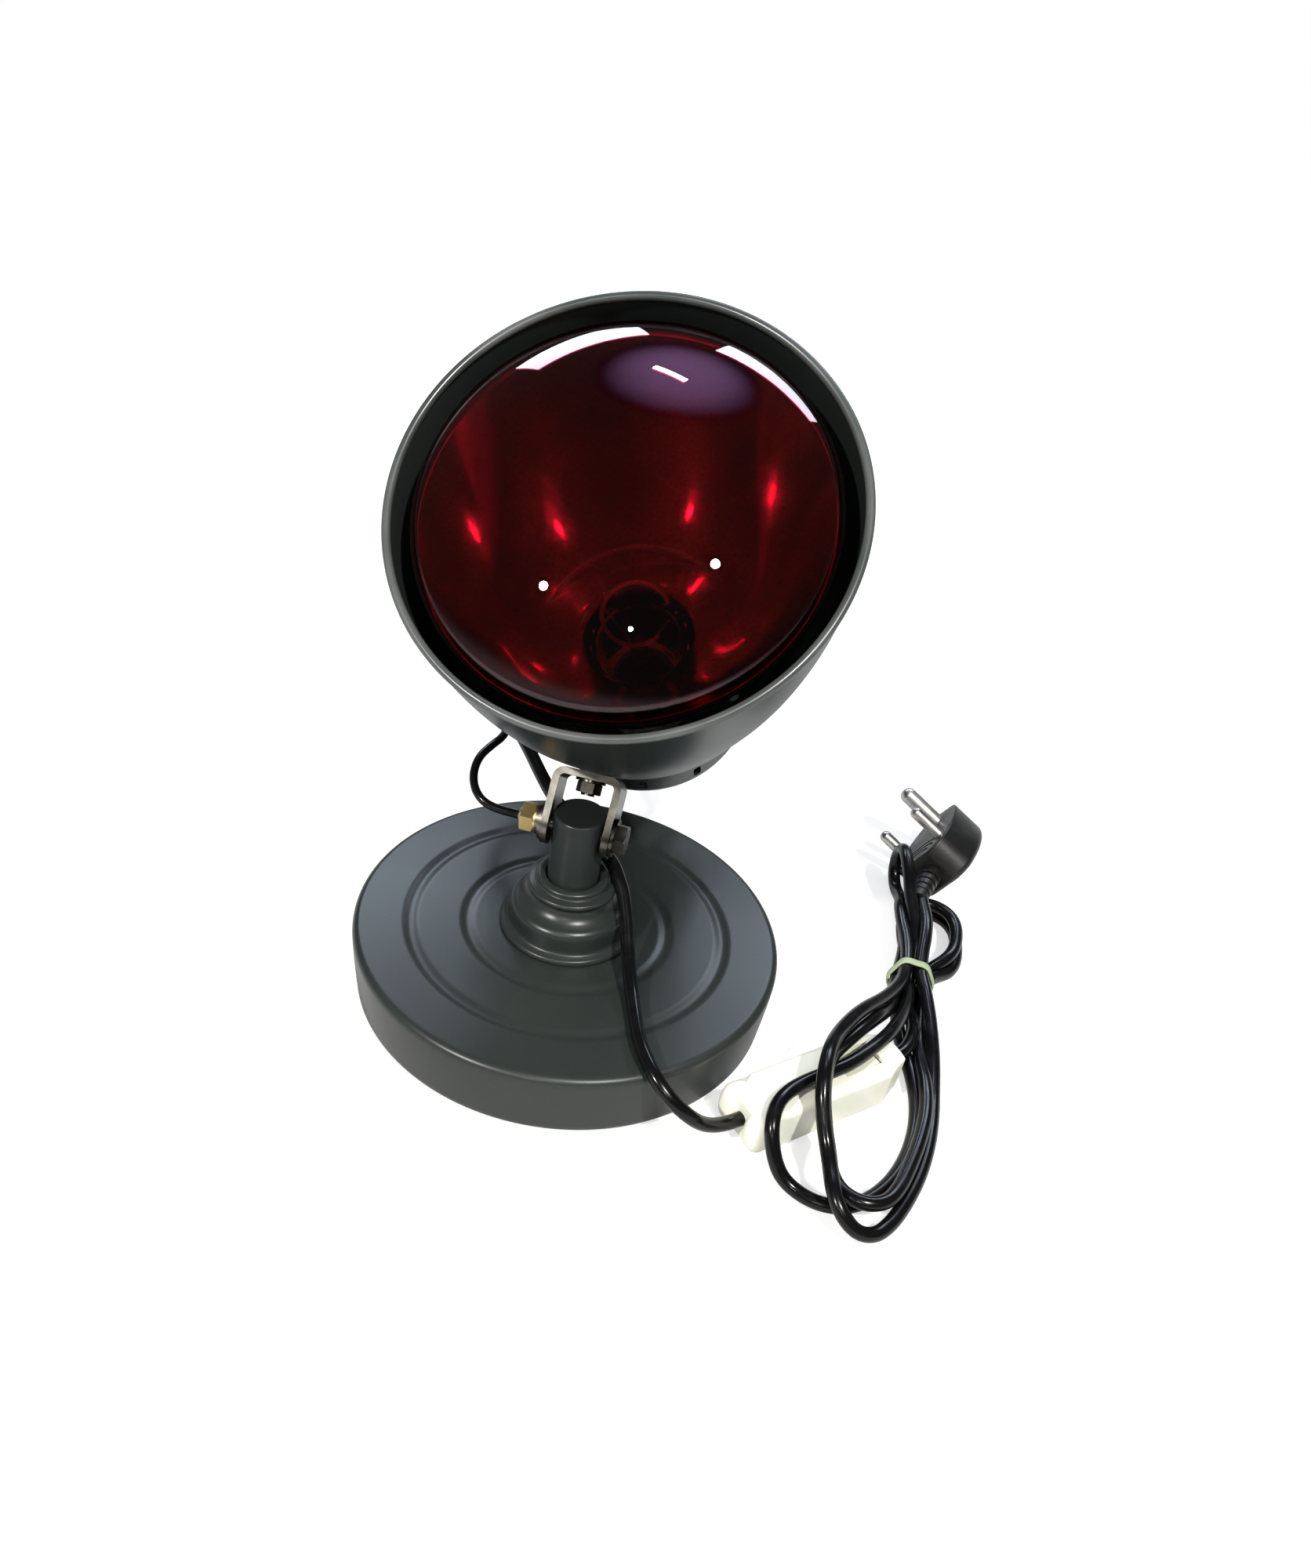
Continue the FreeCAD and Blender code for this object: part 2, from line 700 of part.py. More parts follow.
def make_pivot():
    left = V(-1, 0, 0)
    washer_start = ear_outer + ear_side_clearance
    washer_end = washer_start + pivot_washer_thickness
    bore = pivot_radius + pivot_hole_clearance
    washers = [ring(pivot_washer_radius, bore, pivot_washer_thickness, pivot + side * washer_start, side)
               for side in (ALONG_X, left)]
    keep("pivot_washers", group(*washers))
    spring_end = washer_end + spring_washer_thickness
    spring = ring(spring_washer_radius, bore, spring_washer_thickness, pivot + left * washer_end, left)
    split = Part.makeBox(spring_washer_thickness + 2 * cut_overrun, spring_washer_radius, spring_split,
                         pivot + V(-spring_end - cut_overrun, 0, spring_split_height))
    split.rotate(pivot + left * washer_end, V(0, 1, 0), spring_split_tilt)
    keep("spring_washer", spring.cut(split))
    terminal_end = spring_end + terminal_thickness
    nut_end = terminal_end + pivot_nut_height
    nut = hexagon(pivot_head_flats, pivot_nut_height, pivot + left * terminal_end, left)
    keep("pivot_nut", nut.cut(cylinder(pivot_radius + thread_clearance, nut_end, pivot, left)))
    chamfer = thread_end_chamfer
    shank_end = nut_end + pivot_thread_end - chamfer
    shank = cylinder(pivot_radius, washer_end + shank_end, pivot + ALONG_X * washer_end, left)
    tip = Part.makeCone(pivot_radius, pivot_radius - chamfer, chamfer, pivot + left * shank_end, left)
    head = hexagon(pivot_head_flats, pivot_head_height, pivot + ALONG_X * washer_end, ALONG_X)
    keep("pivot_bolt", head.fuse(shank).fuse(tip))
    make_terminal(spring_end, bore)


def make_terminal(face, bore):
    """Ring terminal on the bolt, with its crimp barrel bent to point along the bolt."""
    left = V(-1, 0, 0)
    angle = math.radians(terminal_angle)
    outwards = V(0, math.cos(angle), math.sin(angle))
    eye = cylinder(terminal_ring_radius, terminal_thickness, pivot + left * face, left)
    tongue = Part.makeBox(terminal_thickness, terminal_offset + terminal_tongue_overlap, terminal_tongue_width,
                          V(-face - terminal_thickness, 0, -terminal_tongue_width / 2))
    tongue.rotate(ORIGIN, ALONG_X, terminal_angle)
    tongue.translate(pivot)
    start = pivot + outwards * terminal_offset + left * face
    barrel = cylinder(terminal_barrel_radius, terminal_barrel_length, start, left)
    bore_cut = cylinder(bore, terminal_thickness + 2 * cut_overrun, pivot + left * (face - cut_overrun), left)
    wire_bore = cylinder(wire_diameter / 2 + terminal_wire_clearance, terminal_barrel_length,
                         start + left * terminal_wire_stop, left)
    keep("wire_terminal", eye.fuse(tongue).fuse(barrel).cut(bore_cut).cut(wire_bore))


# ---------------------------------------------------------------- yoke and shade
def make_yoke():
    """Strip bent to an inverted U, ears rounded about the pivot, web under the shade wall."""
    half = yoke_width / 2
    outer_bend = yoke_bend + yoke_strip
    top = yoke_reach
    profile = [(V(-ear_outer, 0, -half), 0), (V(-ear_inner, 0, -half), 0),
               (V(-ear_inner, 0, top - outer_bend), 0), (V(-ear_inner + yoke_bend, 0, top - yoke_strip), -90),
               (V(ear_inner - yoke_bend, 0, top - yoke_strip), 0), (V(ear_inner, 0, top - outer_bend), -90),
               (V(ear_inner, 0, -half), 0), (V(ear_outer, 0, -half), 0),
               (V(ear_outer, 0, top - outer_bend), 0), (V(ear_outer - outer_bend, 0, top), 90),
               (V(-ear_outer + outer_bend, 0, top), 0), (V(-ear_outer, 0, top - outer_bend), 90)]
    strip = Part.Face(closed_wire(profile, V(0, -1, 0))).extrude(V(0, yoke_width, 0))
    strip = sound(strip)
    strip.translate(V(0, -half, 0))
    side = ear_outer + cut_overrun
    start = V(-side, 0, 0)
    tongue = Part.makeBox(2 * side, yoke_width, top + cut_overrun, V(-side, -half, 0))
    rounded = tongue.fuse(cylinder(half, 2 * side, start, ALONG_X))
    yoke = strip.common(rounded)
    yoke = yoke.cut(cylinder(pivot_radius + pivot_running, 2 * side, start, ALONG_X))
    yoke = yoke.cut(cylinder(yoke_bolt_radius + yoke_bolt_hole_clearance, top + cut_overrun))
    keep("yoke", on_yoke(yoke))


def make_yoke_bolt():
    """Screw through the shade wall and the web, with its nut inside the yoke."""
    web_under = yoke_reach - yoke_strip
    inner_seat = yoke_reach + shade_wall + seat_sagitta
    bore = yoke_bolt_radius + yoke_washer_clearance
    washers = [ring(yoke_washer_radius, bore, yoke_washer_thickness, V(0, 0, inner_seat)),
               ring(yoke_washer_radius, bore, yoke_washer_thickness, V(0, 0, web_under - yoke_washer_thickness))]
    keep("yoke_washers", on_yoke(group(*washers)))
    nut_top = web_under - yoke_washer_thickness
    nut = hexagon(yoke_nut_flats, yoke_nut_height, V(0, 0, nut_top - yoke_nut_height))
    keep("yoke_nut", on_yoke(nut.cut(cylinder(yoke_bolt_radius + thread_clearance, yoke_reach))))
    head_seat = inner_seat + yoke_washer_thickness
    bolt = pan_screw(yoke_bolt_radius, head_seat - yoke_bolt_end, yoke_head_radius, yoke_head_height,
                     V(0, 0, head_seat), V(0, 0, -1))
    keep("yoke_bolt", on_yoke(bolt))


def make_shade():
    hole = holder_rear_radius + holder_hole_clearance
    tail = [(hole, -shade_depth), (hole, shade_wall - shade_depth)]
    steps = wall_profile(shade_stations, 0, shade_wall, tail)
    lip_turn = math.degrees(math.asin(shade_wall / 2 / mouth_bead)) - 180
    steps.append((mouth_radius - mouth_bead, 0, lip_turn))
    steps[0] = steps[0] + (lip_turn,)
    shade = turned(*steps)
    for index in range(vent_count):
        slot = vent_cutter()
        slot.rotate(ORIGIN, UP, 360 * (index + 0.5) / vent_count)
        shade = shade.cut(slot)
    for ring_radius, first_angle in ((strap_screw_ring, strap_angle), (cap_screw_ring, 90)):
        for angle in (first_angle, first_angle + 180):
            hole = cylinder(small_screw_radius + small_screw_clearance, 3 * shade_wall,
                            V(ring_radius, 0, -shade_depth - shade_wall))
            hole.rotate(ORIGIN, UP, angle)
            shade = shade.cut(hole)
    shade = on_shade(shade)
    bolt_hole = on_yoke(cylinder(yoke_bolt_radius + yoke_bolt_hole_clearance, 3 * shade_wall,
                                 V(0, 0, yoke_reach - cut_overrun)))
    keep("shade", shade.cut(bolt_hole))


def vent_cutter():
    """One slot with round ends through the side wall of the neck."""
    half = vent_length / 2 - vent_width / 2
    depth = shade_depth - back_round - vent_margin - vent_length / 2
    side = vent_width / 2
    slot = prism([(-side, -half), (side, -half, 180), (side, half), (-side, half, 180)], 0, vent_cut_depth)
    slot.rotate(ORIGIN, V(0, 1, 0), 90)
    slot.rotate(ORIGIN, ALONG_X, 90)
    slot.translate(V(vent_cut_start, 0, -depth))
    return slot


# ---------------------------------------------------------------- rear cap and lampholder
def make_rear_cap():
    """Cup over the terminals, with a flange on the flat back and a side entry for the gland."""
    back = -shade_depth - cap_depth
    floor = -shade_depth
    cap = turned((cap_radius - cap_wall, floor), (cap_radius - cap_wall, back + cap_round),
                 (cap_radius - cap_round, back + cap_wall, -90), (0, back + cap_wall), (0, back),
                 (cap_radius - cap_round, back), (cap_radius, back + cap_round, 90),
                 (cap_radius, floor - cap_flange_thickness), (cap_flange_radius, floor - cap_flange_thickness),
                 (cap_flange_radius, floor))
    for index in range(cap_vent_count):
        hole = cylinder(cap_vent_radius, 2 * cap_wall, V(cap_vent_ring, 0, back - cap_wall / 2))
        hole.rotate(ORIGIN, UP, 360 * (index + 0.5) / cap_vent_count)
        cap = cap.cut(hole)
    entry = cylinder(gland_radius + gland_entry_clearance, cap_radius, V(0, 0, -gland_depth), V(-1, 0, 0))
    cap = cap.cut(entry)
    screws = []
    for sign in (-1, 1):
        place = V(0, sign * cap_screw_ring, floor - cap_flange_thickness)
        hole = small_screw_radius + small_screw_clearance
        cap = cap.cut(cylinder(hole, cap_flange_thickness + 2 * cut_overrun, place - UP * cut_overrun))
        screws.append(pan_screw(small_screw_radius, small_screw_length, cap_screw_head_radius, small_head_height,
                                place, UP))
    keep("rear_cap", on_shade(cap))
    keep("rear_cap_screws", on_shade(group(*screws)))


def make_gland():
    """Threaded bushing with a hexagonal nut inside, one round way for the lead and one for the bonding wire."""
    left = V(-1, 0, 0)
    centre = V(0, 0, -gland_depth)
    outside = centre + left * cap_radius
    inside = cap_wall + gland_inside_length
    bushing = cylinder(gland_radius, inside, centre + left * (cap_radius - inside), left)
    hood = Part.makeCone(gland_hood_radius, gland_tip_radius, gland_length - gland_collar_length,
                         outside + left * gland_collar_length, left)
    collar = cylinder(gland_hood_radius, gland_collar_length + gland_collar_sink, outside - left * gland_collar_sink, left)
    saddle = cylinder(cap_radius, 2 * gland_hood_radius, V(0, 0, -gland_depth - gland_hood_radius))
    body = hood.fuse(collar.cut(saddle)).fuse(bushing)
    inner_end = -cap_radius / 2
    lead_hole = cylinder(lead_diameter / 2 + lead_clearance, cap_radius, V(inner_end, 0, -gland_depth), left)
    wire_hole = cylinder(wire_diameter / 2 + lead_clearance, cap_radius,
                         V(inner_end, gland_wire_offset, -gland_depth), left)
    keep("cord_gland", on_shade(body.cut(lead_hole).cut(wire_hole)))
    seat = math.sqrt((cap_radius - cap_wall) ** 2 - gland_nut_flats ** 2 / 3) - gland_nut_gap
    nut = hexagon(gland_nut_flats, gland_nut_height, centre + left * seat, ALONG_X)
    nut.rotate(centre, ALONG_X, 30)
    nut = nut.cut(cylinder(gland_radius + thread_clearance, 2 * cap_radius, centre, left))
    keep("gland_nut", on_shade(nut))


def make_holder():
    """Glazed body: a wide barrel inside the shade and a block of terminals behind the flat back."""
    seat = -shade_depth + shade_wall
    front = -holder_front_depth
    rear = -holder_rear_depth
    floor = -holder_floor_depth
    mouth = holder_bore_radius + holder_bore_round
    body = turned((0, rear), (holder_rear_radius - holder_round, rear), (holder_rear_radius, rear + holder_round, 90),
                  (holder_rear_radius, seat), (holder_radius - holder_round, seat), (holder_radius, seat + holder_round, 90),
                  (holder_radius, front - holder_front_round), (holder_radius - holder_front_round, front, 90),
                  (mouth, front), (holder_bore_radius, front - holder_bore_round, 90), (holder_bore_radius, floor),
                  (0, floor))
    screws = []
    for sign in (-1, 1):
        inwards = V(0, -sign, 0)
        place = V(0, sign * terminal_screw_place, rear + terminal_screw_rise)
        notch = Part.makeBox(terminal_notch_width, terminal_notch_length, terminal_notch_height,
                             V(-terminal_notch_width / 2, sign * terminal_notch_place - terminal_notch_length / 2, rear))
        body = body.cut(notch)
        screws.append(pan_screw(terminal_screw_radius, terminal_screw_length, terminal_screw_head_radius,
                                small_head_height, place, inwards))
        hole_radius = terminal_screw_radius + terminal_screw_clearance
        body = body.cut(cylinder(hole_radius, terminal_screw_length + terminal_screw_clearance, place, inwards))
    keep("lampholder_body", on_shade(body))
    keep("terminal_screws", on_shade(group(*screws)))
    shell_top = front - screw_shell_lip
    shell_end = -screw_shell_end_depth
    shell = ring(screw_shell_radius + screw_shell_wall, screw_shell_radius, shell_top - shell_end, V(0, 0, shell_end))
    lip = ring(screw_shell_radius + screw_shell_lip, screw_shell_radius, screw_shell_lip_height,
               V(0, 0, shell_top - screw_shell_lip_height))
    keep("lampholder_screw_shell", on_shade(shell.fuse(lip)))
    make_centre_contact(floor)
    make_strap(rear)


def bar(half_length, half_width, bottom, top):
    """Flat bar centred over the axis, its length along X."""
    outline = [(-half_length, -half_width), (half_length, -half_width), (half_length, half_width),
               (-half_length, half_width)]
    return prism(outline, bottom, top)


def make_centre_contact(floor):
    """Leaf spring on the floor of the holder that the bulb's centre button presses."""
    leaf_top = floor + contact_leaf_thickness
    leaf = bar(contact_leaf_half_length, contact_leaf_half_width, floor, leaf_top)
    rise = bar(contact_rise_half_length, contact_leaf_half_width, leaf_top, floor + contact_rise_top)
    rivet = cylinder(contact_rivet_radius, contact_rivet_height, V(contact_rivet_place, 0, leaf_top))
    keep("lampholder_contact", on_shade(leaf.fuse(rise).fuse(rivet)))


def make_strap(rear):
    """Strap over the back of the holder, its feet screwed to the flat back."""
    foot = -shade_depth - strap_thickness
    inner = holder_rear_radius + strap_side_clearance
    outer = inner + strap_thickness
    low = rear - strap_back_clearance
    back = low - strap_thickness
    reach = strap_foot_reach
    big = strap_outer_bend
    small = strap_inner_bend
    seat = foot + strap_thickness
    profile = [(-reach, foot), (-outer, foot), (-outer, back + big), (-outer + big, back, 90), (outer - big, back),
               (outer, back + big, 90), (outer, foot), (reach, foot), (reach, seat), (inner, seat),
               (inner, low + small), (inner - small, low, -90), (-inner + small, low), (-inner, low + small, -90),
               (-inner, seat), (-reach, seat)]
    points = [(V(step[0], 0, step[1]), step[2] if len(step) > 2 else 0) for step in profile]
    strap = sound(Part.Face(closed_wire(points, V(0, -1, 0))).extrude(V(0, strap_width, 0)))
    strap.translate(V(0, -strap_width / 2, 0))
    screws = []
    for sign in (-1, 1):
        place = V(sign * strap_screw_ring, 0, foot)
        hole = small_screw_radius + small_screw_clearance
        strap = strap.cut(cylinder(hole, strap_thickness + 2 * cut_overrun, place - UP * cut_overrun))
        screws.append(pan_screw(small_screw_radius, small_screw_length, strap_screw_head_radius, small_head_height,
                                place, UP))
    for name, shape in (("lampholder_strap", strap), ("strap_screws", group(*screws))):
        shape.rotate(ORIGIN, UP, strap_angle)
        keep(name, on_shade(shape))


# ---------------------------------------------------------------- bulb
def bulb_stations():
    stations = [(-bulb_apex, 0.0, -90.0)]
    stations.append(bend(stations[-1], bulb_face_run, bulb_face_slope))
    stations.append(bend(stations[-1], bulb_edge_run, bulb_body_slope))
    stations.append(bend(stations[-1], bulb_body_run, bulb_waist_slope))
    stations.append(bend(stations[-1], bulb_waist_run, bulb_throat_slope))
    stations.append(bend(stations[-1], bulb_throat_run, bulb_neck_slope))
    stations.append(bend(stations[-1], bulb_neck_run, bulb_neck_slope))
    return stations


def make_bulb():
    """Blown envelope, mirrored on the inside behind its widest circle, on a screw cap."""
    stations = bulb_stations()
    end_depth = stations[-1][0]
    throat = bulb_cap_radius - bulb_cap_wall - bulb_seal_gap
    start = -end_depth - bulb_seal_start
    end = -end_depth - bulb_seal_end
    bore = throat - bulb_glass_wall
    tail = [(throat, start), (throat, end), (bore, end), (bore, start)]
    keep("bulb_glass", on_shade(turned(*wall_profile(stations, 0, bulb_glass_wall, tail))))
    inside = bulb_glass_wall + bulb_mirror_gap
    keep("bulb_reflector", on_shade(turned(*wall_profile(stations[2:6], inside, inside + bulb_mirror_wall))))
    make_bulb_cap()
    make_bulb_stem()


def make_bulb_cap():
    top = -bulb_cap_depth
    bottom = top - bulb_cap_length
    skin = bulb_cap_radius - bulb_cap_wall
    cap_end = bottom - bulb_cap_end_height
    cap = turned((skin, top), (skin, bottom), (bulb_cap_end_radius - bulb_cap_wall, cap_end + bulb_cap_wall),
                 (bulb_cap_end_radius, cap_end), (bulb_cap_radius, bottom),
                 (bulb_cap_radius, top - bulb_cap_lip), (bulb_cap_radius + bulb_cap_flare, top, 60))
    keep("bulb_cap", on_shade(cap))
    rim = skin - insulator_gap
    base = bottom - contact_button_base
    insulator = turned((contact_button_radius, base), (contact_button_radius, bottom - insulator_end_height),
                       (insulator_rim_radius, bottom - insulator_rim_height), (rim, bottom + insulator_gap),
                       (rim, bottom + insulator_top), (0, bottom + insulator_top), (0, base))
    edge = contact_button_radius - contact_button_inset
    button = turned((0, base), (0, bottom - contact_button_height),
                    (edge, bottom - contact_button_edge, contact_button_turn), (edge, base))
    keep("bulb_insulator", on_shade(insulator))
    keep("bulb_contact", on_shade(button))


def make_bulb_stem():
    """Glass stem with its pinch, two lead wires and the ring of filament that they hold."""
    foot = -stem_foot_depth
    top = -stem_top_depth
    flare = bulb_cap_radius - bulb_cap_wall - bulb_seal_gap - bulb_glass_wall - stem_flare_gap
    stem = turned((0, foot), (flare, foot), (flare, foot + stem_flare_height),
                  (stem_body_radius, foot + stem_body_height, -60), (stem_pinch_radius, top - stem_tip_round),
                  (stem_tip_radius, top, 70), (0, top))
    supports = []
    for sign in (-1, 1):
        start = V(sign * lead_wire_spread, 0, top - lead_wire_root)
        end = V(sign * filament_radius, 0, -filament_depth)
        way = end - start
        supports.append(cylinder(lead_wire_radius, way.Length, start, V(way).normalize()))
    wires = supports[0].fuse(supports[1])
    keep("bulb_stem", on_shade(stem.cut(wires)))
    keep("bulb_lead_wires", on_shade(group(*supports)))
    coil = Part.makeTorus(filament_radius, filament_wire, V(0, 0, -filament_depth), UP, 0, 360, 300)
    coil.rotate(ORIGIN, UP, 30)
    keep("bulb_filament", on_shade(coil.cut(wires)))


# ---------------------------------------------------------------- in-line switch
def switch_plan(inset):
    """Plan of the switch housing: a straight waist and two tapered, rounded ends."""
    half = switch_length / 2 - inset
    side = switch_width / 2 - inset
    end = switch_end_width / 2 - inset
    shoulder = half - switch_shoulder
    turn = switch_side_turn
    return [(-half, -end), (-shoulder, -side, turn), (shoulder, -side), (half, -end, turn),
            (half, end, switch_end_turn), (shoulder, side, turn), (-shoulder, side), (-half, end, turn)]


def lead_way(sign):
    """Way for the lead through one end wall of the switch."""
    reach = switch_lead_depth + 3 * cut_overrun
    start = V(sign * (switch_length / 2 + cut_overrun), 0, switch_parting)
    return cylinder(lead_diameter / 2 + lead_clearance, reach, start, V(-sign, 0, 0))


def make_switch():
    """Two shells that meet at the parting line, with screws up through bosses at opposite corners."""
    parting = switch_parting
    ceiling = switch_height - switch_wall
    upper = prism(switch_plan(0), parting, switch_height)
    top_edges = [edge for edge in upper.Edges if edge.BoundBox.ZMin > ceiling]
    upper = upper.makeFillet(switch_edge_round, top_edges)
    upper = upper.cut(prism(switch_plan(switch_wall), parting, ceiling))
    lower = prism(switch_plan(0), 0, parting)
    low_edges = [edge for edge in lower.Edges if edge.BoundBox.ZMax < switch_wall]
    lower = lower.makeChamfer(switch_base_chamfer, low_edges)
    lower = lower.cut(prism(switch_plan(switch_wall), switch_wall, parting))
    upper = with_rocker_window(upper)
    screws = []
    for sign in (-1, 1):
        place = V(sign * switch_screw_place, -sign * switch_screw_offset, 0)
        middle = place + UP * parting
        upper = upper.fuse(cylinder(switch_boss_radius, ceiling - parting, middle))
        lower = lower.fuse(cylinder(switch_boss_radius, parting - switch_wall, place + UP * switch_wall))
        upper = upper.cut(cylinder(switch_screw_radius, switch_screw_depth, middle))
        lower = lower.cut(cylinder(switch_screw_radius + switch_screw_clearance, parting, place))
        lower = lower.cut(cylinder(switch_screw_head_radius + switch_screw_clearance, switch_screw_seat, place))
        screws.append(pan_screw(switch_screw_radius - switch_thread_clearance, switch_screw_length,
                                switch_screw_head_radius, switch_screw_head_height, place + UP * switch_screw_seat, UP))
        upper = upper.cut(lead_way(sign))
        lower = lower.cut(lead_way(sign))
    keep("switch_upper", on_switch(upper))
    keep("switch_lower", on_switch(lower))
    keep("switch_screws", on_switch(group(*screws)))
    make_rocker()
    make_switch_inside()


def with_rocker_window(upper):
    """The upper shell with the rocker's window and the two ears that hold its pin."""
    inner_half = rocker_width / 2 + rocker_side_clearance
    reach = rocker_sweep_radius + window_clearance
    window = Part.makeBox(2 * reach, 2 * inner_half, 2 * window_depth,
                          V(rocker_centre - reach, -inner_half, switch_height - window_depth))
    upper = upper.cut(window)
    ear_base = switch_parting + rocker_ear_gap
    ear_height = switch_height - switch_wall - ear_base
    pin_line = V(rocker_centre, -inner_half - rocker_pin_grip, rocker_pivot_height)
    pin_hole = cylinder(rocker_pin_radius + rocker_ear_clearance, 2 * (inner_half + rocker_pin_grip), pin_line, ALONG_Y)
    for side in (inner_half, -inner_half - rocker_ear_thickness):
        start = V(rocker_centre - rocker_ear_length / 2, side, ear_base)
        upper = upper.fuse(Part.makeBox(rocker_ear_length, rocker_ear_thickness, ear_height, start).cut(pin_hole))
    pin_length = 2 * (inner_half + rocker_pin_grip - rocker_pin_end_gap)
    keep("rocker_pin", on_switch(cylinder(rocker_pin_radius, pin_length, pin_line + ALONG_Y * rocker_pin_end_gap, ALONG_Y)))
    return upper


def make_rocker():
    """Rocker cut from a cylinder about its pin, so that its ends sweep clear of the window."""
    half = rocker_width / 2
    side_start = V(0, -half, 0)
    drum = cylinder(rocker_sweep_radius, rocker_width, side_start, ALONG_Y)
    reach = rocker_sweep_radius + cut_overrun
    rise = rocker_rise + reach * math.tan(math.radians(rocker_facet_angle))
    side = [(V(-reach, -half, -rocker_skirt), 0), (V(reach, -half, -rocker_skirt), 0), (V(reach, -half, rise), 0),
            (V(0, -half, rocker_rise), 0), (V(-reach, -half, rise), 0)]
    blank = sound(Part.Face(closed_wire(side, V(0, -1, 0))).extrude(V(0, rocker_width, 0)))
    rocker = drum.common(blank)
    rocker = rocker.cut(cylinder(rocker_pin_radius + rocker_pin_clearance, rocker_width, side_start, ALONG_Y))
    hollow = Part.makeBox(rocker_hollow_length, rocker_width - 2 * rocker_hollow_wall, rocker_hollow_height,
                          V(-rocker_hollow_length / 2, rocker_hollow_wall - half, -rocker_skirt))
    rocker = rocker.cut(hollow)
    rocker.rotate(ORIGIN, ALONG_Y, -rocker_facet_angle)
    rocker.translate(V(rocker_centre, 0, rocker_pivot_height))
    keep("switch_rocker", on_switch(rocker))


def make_switch_inside():
    """Four terminal blocks and the two contact strips under the rocker."""
    size = terminal_block_size
    blocks = []
    for place, across in terminal_block_places:
        block = Part.makeBox(size.x, size.y, size.z, V(place - size.x / 2, across - size.y / 2, switch_wall))
        hole = cylinder(terminal_block_screw_radius, size.z, V(place, across, switch_wall + terminal_block_screw_rise))
        blocks.append(block.cut(hole))
    keep("switch_terminals", on_switch(group(*blocks)))
    size = contact_strip_size
    strips = []
    for sign in (-1, 1):
        start = V(rocker_centre - contact_strip_start, sign * contact_strip_offset - size.y / 2, switch_wall)
        strip = Part.makeBox(size.x, size.y, size.z, start)
        strips.append(strip.fuse(Part.makeBox(size.z, size.y, contact_strip_height, start)))
    keep("switch_contacts", on_switch(group(*strips)))


# ---------------------------------------------------------------- plug
def make_plug():
    """Moulded plug: a waisted body, two current pins, an earth pin and a tapered guard on the cord."""
    narrow = plug_earth_half_width
    wide = plug_half_width
    waist = plug_waist_half_width
    end = plug_end_half_width
    plan = [(-narrow, -plug_top, 24), (narrow, -plug_top, 30), (wide, plug_shoulder_place, 24),
            (waist, plug_waist_place, 20), (end, plug_bottom, 55), (-end, plug_bottom), (-waist, plug_waist_place, 55),
            (-wide, plug_shoulder_place, 20)]
    body = prism(plan, -plug_thickness, 0)
    upright = [edge for edge in body.Edges if edge.BoundBox.ZLength > plug_thickness / 2]
    body = body.makeFillet(plug_corner_round, upright)
    body = body.makeFillet(plug_face_round, [edge for edge in body.Edges if edge.BoundBox.ZMin > -plug_face_round])
    back = plug_edge_round - plug_thickness
    body = body.makeFillet(plug_edge_round, [edge for edge in body.Edges if edge.BoundBox.ZMax < back])
    middle = -plug_thickness / 2
    guard = Part.makeCone(guard_root_radius, guard_tip_radius, guard_length, V(0, plug_bottom - guard_inset, middle),
                          ALONG_Y)
    for index in range(guard_groove_count):
        start = plug_bottom + guard_groove_first + guard_groove_pitch * index
        groove = ring(guard_root_radius + cut_overrun, guard_groove_floor, guard_groove_width, V(0, start, middle), ALONG_Y)
        guard = guard.cut(groove)
    lead_socket = cylinder(lead_diameter / 2 + lead_grip_clearance, guard_grip,
                           V(0, plug_bottom + guard_length - guard_grip, middle), ALONG_Y)
    body = body.cut(guard)
    for sign in (-1, 1):
        for index in range(3):
            body = body.cut(grip_groove(sign, index))
    pins = []
    for sign in (-1, 1):
        pins.append(round_pin(plug_pin_radius, plug_pin_length, V(sign * plug_pin_spacing / 2, 0, 0)))
    earth = round_pin(earth_pin_radius, earth_pin_length, V(0, -earth_pin_offset, 0))
    for pin in pins + [earth]:
        body = body.cut(pin)
    keep("plug_body", on_plug(body))
    keep("plug_guard", on_plug(guard.cut(lead_socket)))
    keep("plug_pins", on_plug(group(*pins)))
    keep("plug_earth_pin", on_plug(earth))


def grip_groove(sign, index):
    """Shallow arc across one broad face near the cord end."""
    face = 0.0 if sign > 0 else -plug_thickness
    middle = grip_first_radius + grip_pitch * index
    foot = plug_bottom + grip_foot
    arc_ring = ring(middle + grip_width / 2, middle - grip_width / 2, 2 * grip_depth, V(0, foot, face - grip_depth))
    span = grip_span * middle
    keeper = Part.makeBox(span, 2 * middle, 4 * grip_depth, V(-span / 2, foot - 2 * middle, face - 2 * grip_depth))
    return arc_ring.common(keeper)


def round_pin(radius, length, place):
    """Solid pin: a thinner root with a head, held in the moulding, a shank and a blunt cone for a tip."""
    taper = radius * pin_tip_share
    root = radius * pin_root_share
    pin = turned((0, -pin_root_depth), (radius, -pin_root_depth), (radius, pin_root_head - pin_root_depth),
                 (root, pin_root_head - pin_root_depth), (root, 0), (radius, 0), (radius, length - taper),
                 (radius - taper, length), (0, length))
    pin.translate(place)
    return pin


# ---------------------------------------------------------------- cords, hank and tie
def plug_point(across, along, above):
    pins = V(plug_pin_direction).normalize()
    side = V(plug_cord_direction).cross(pins).normalize()
    cord = pins.cross(side)
    return plug_origin + side * across + cord * along + pins * above


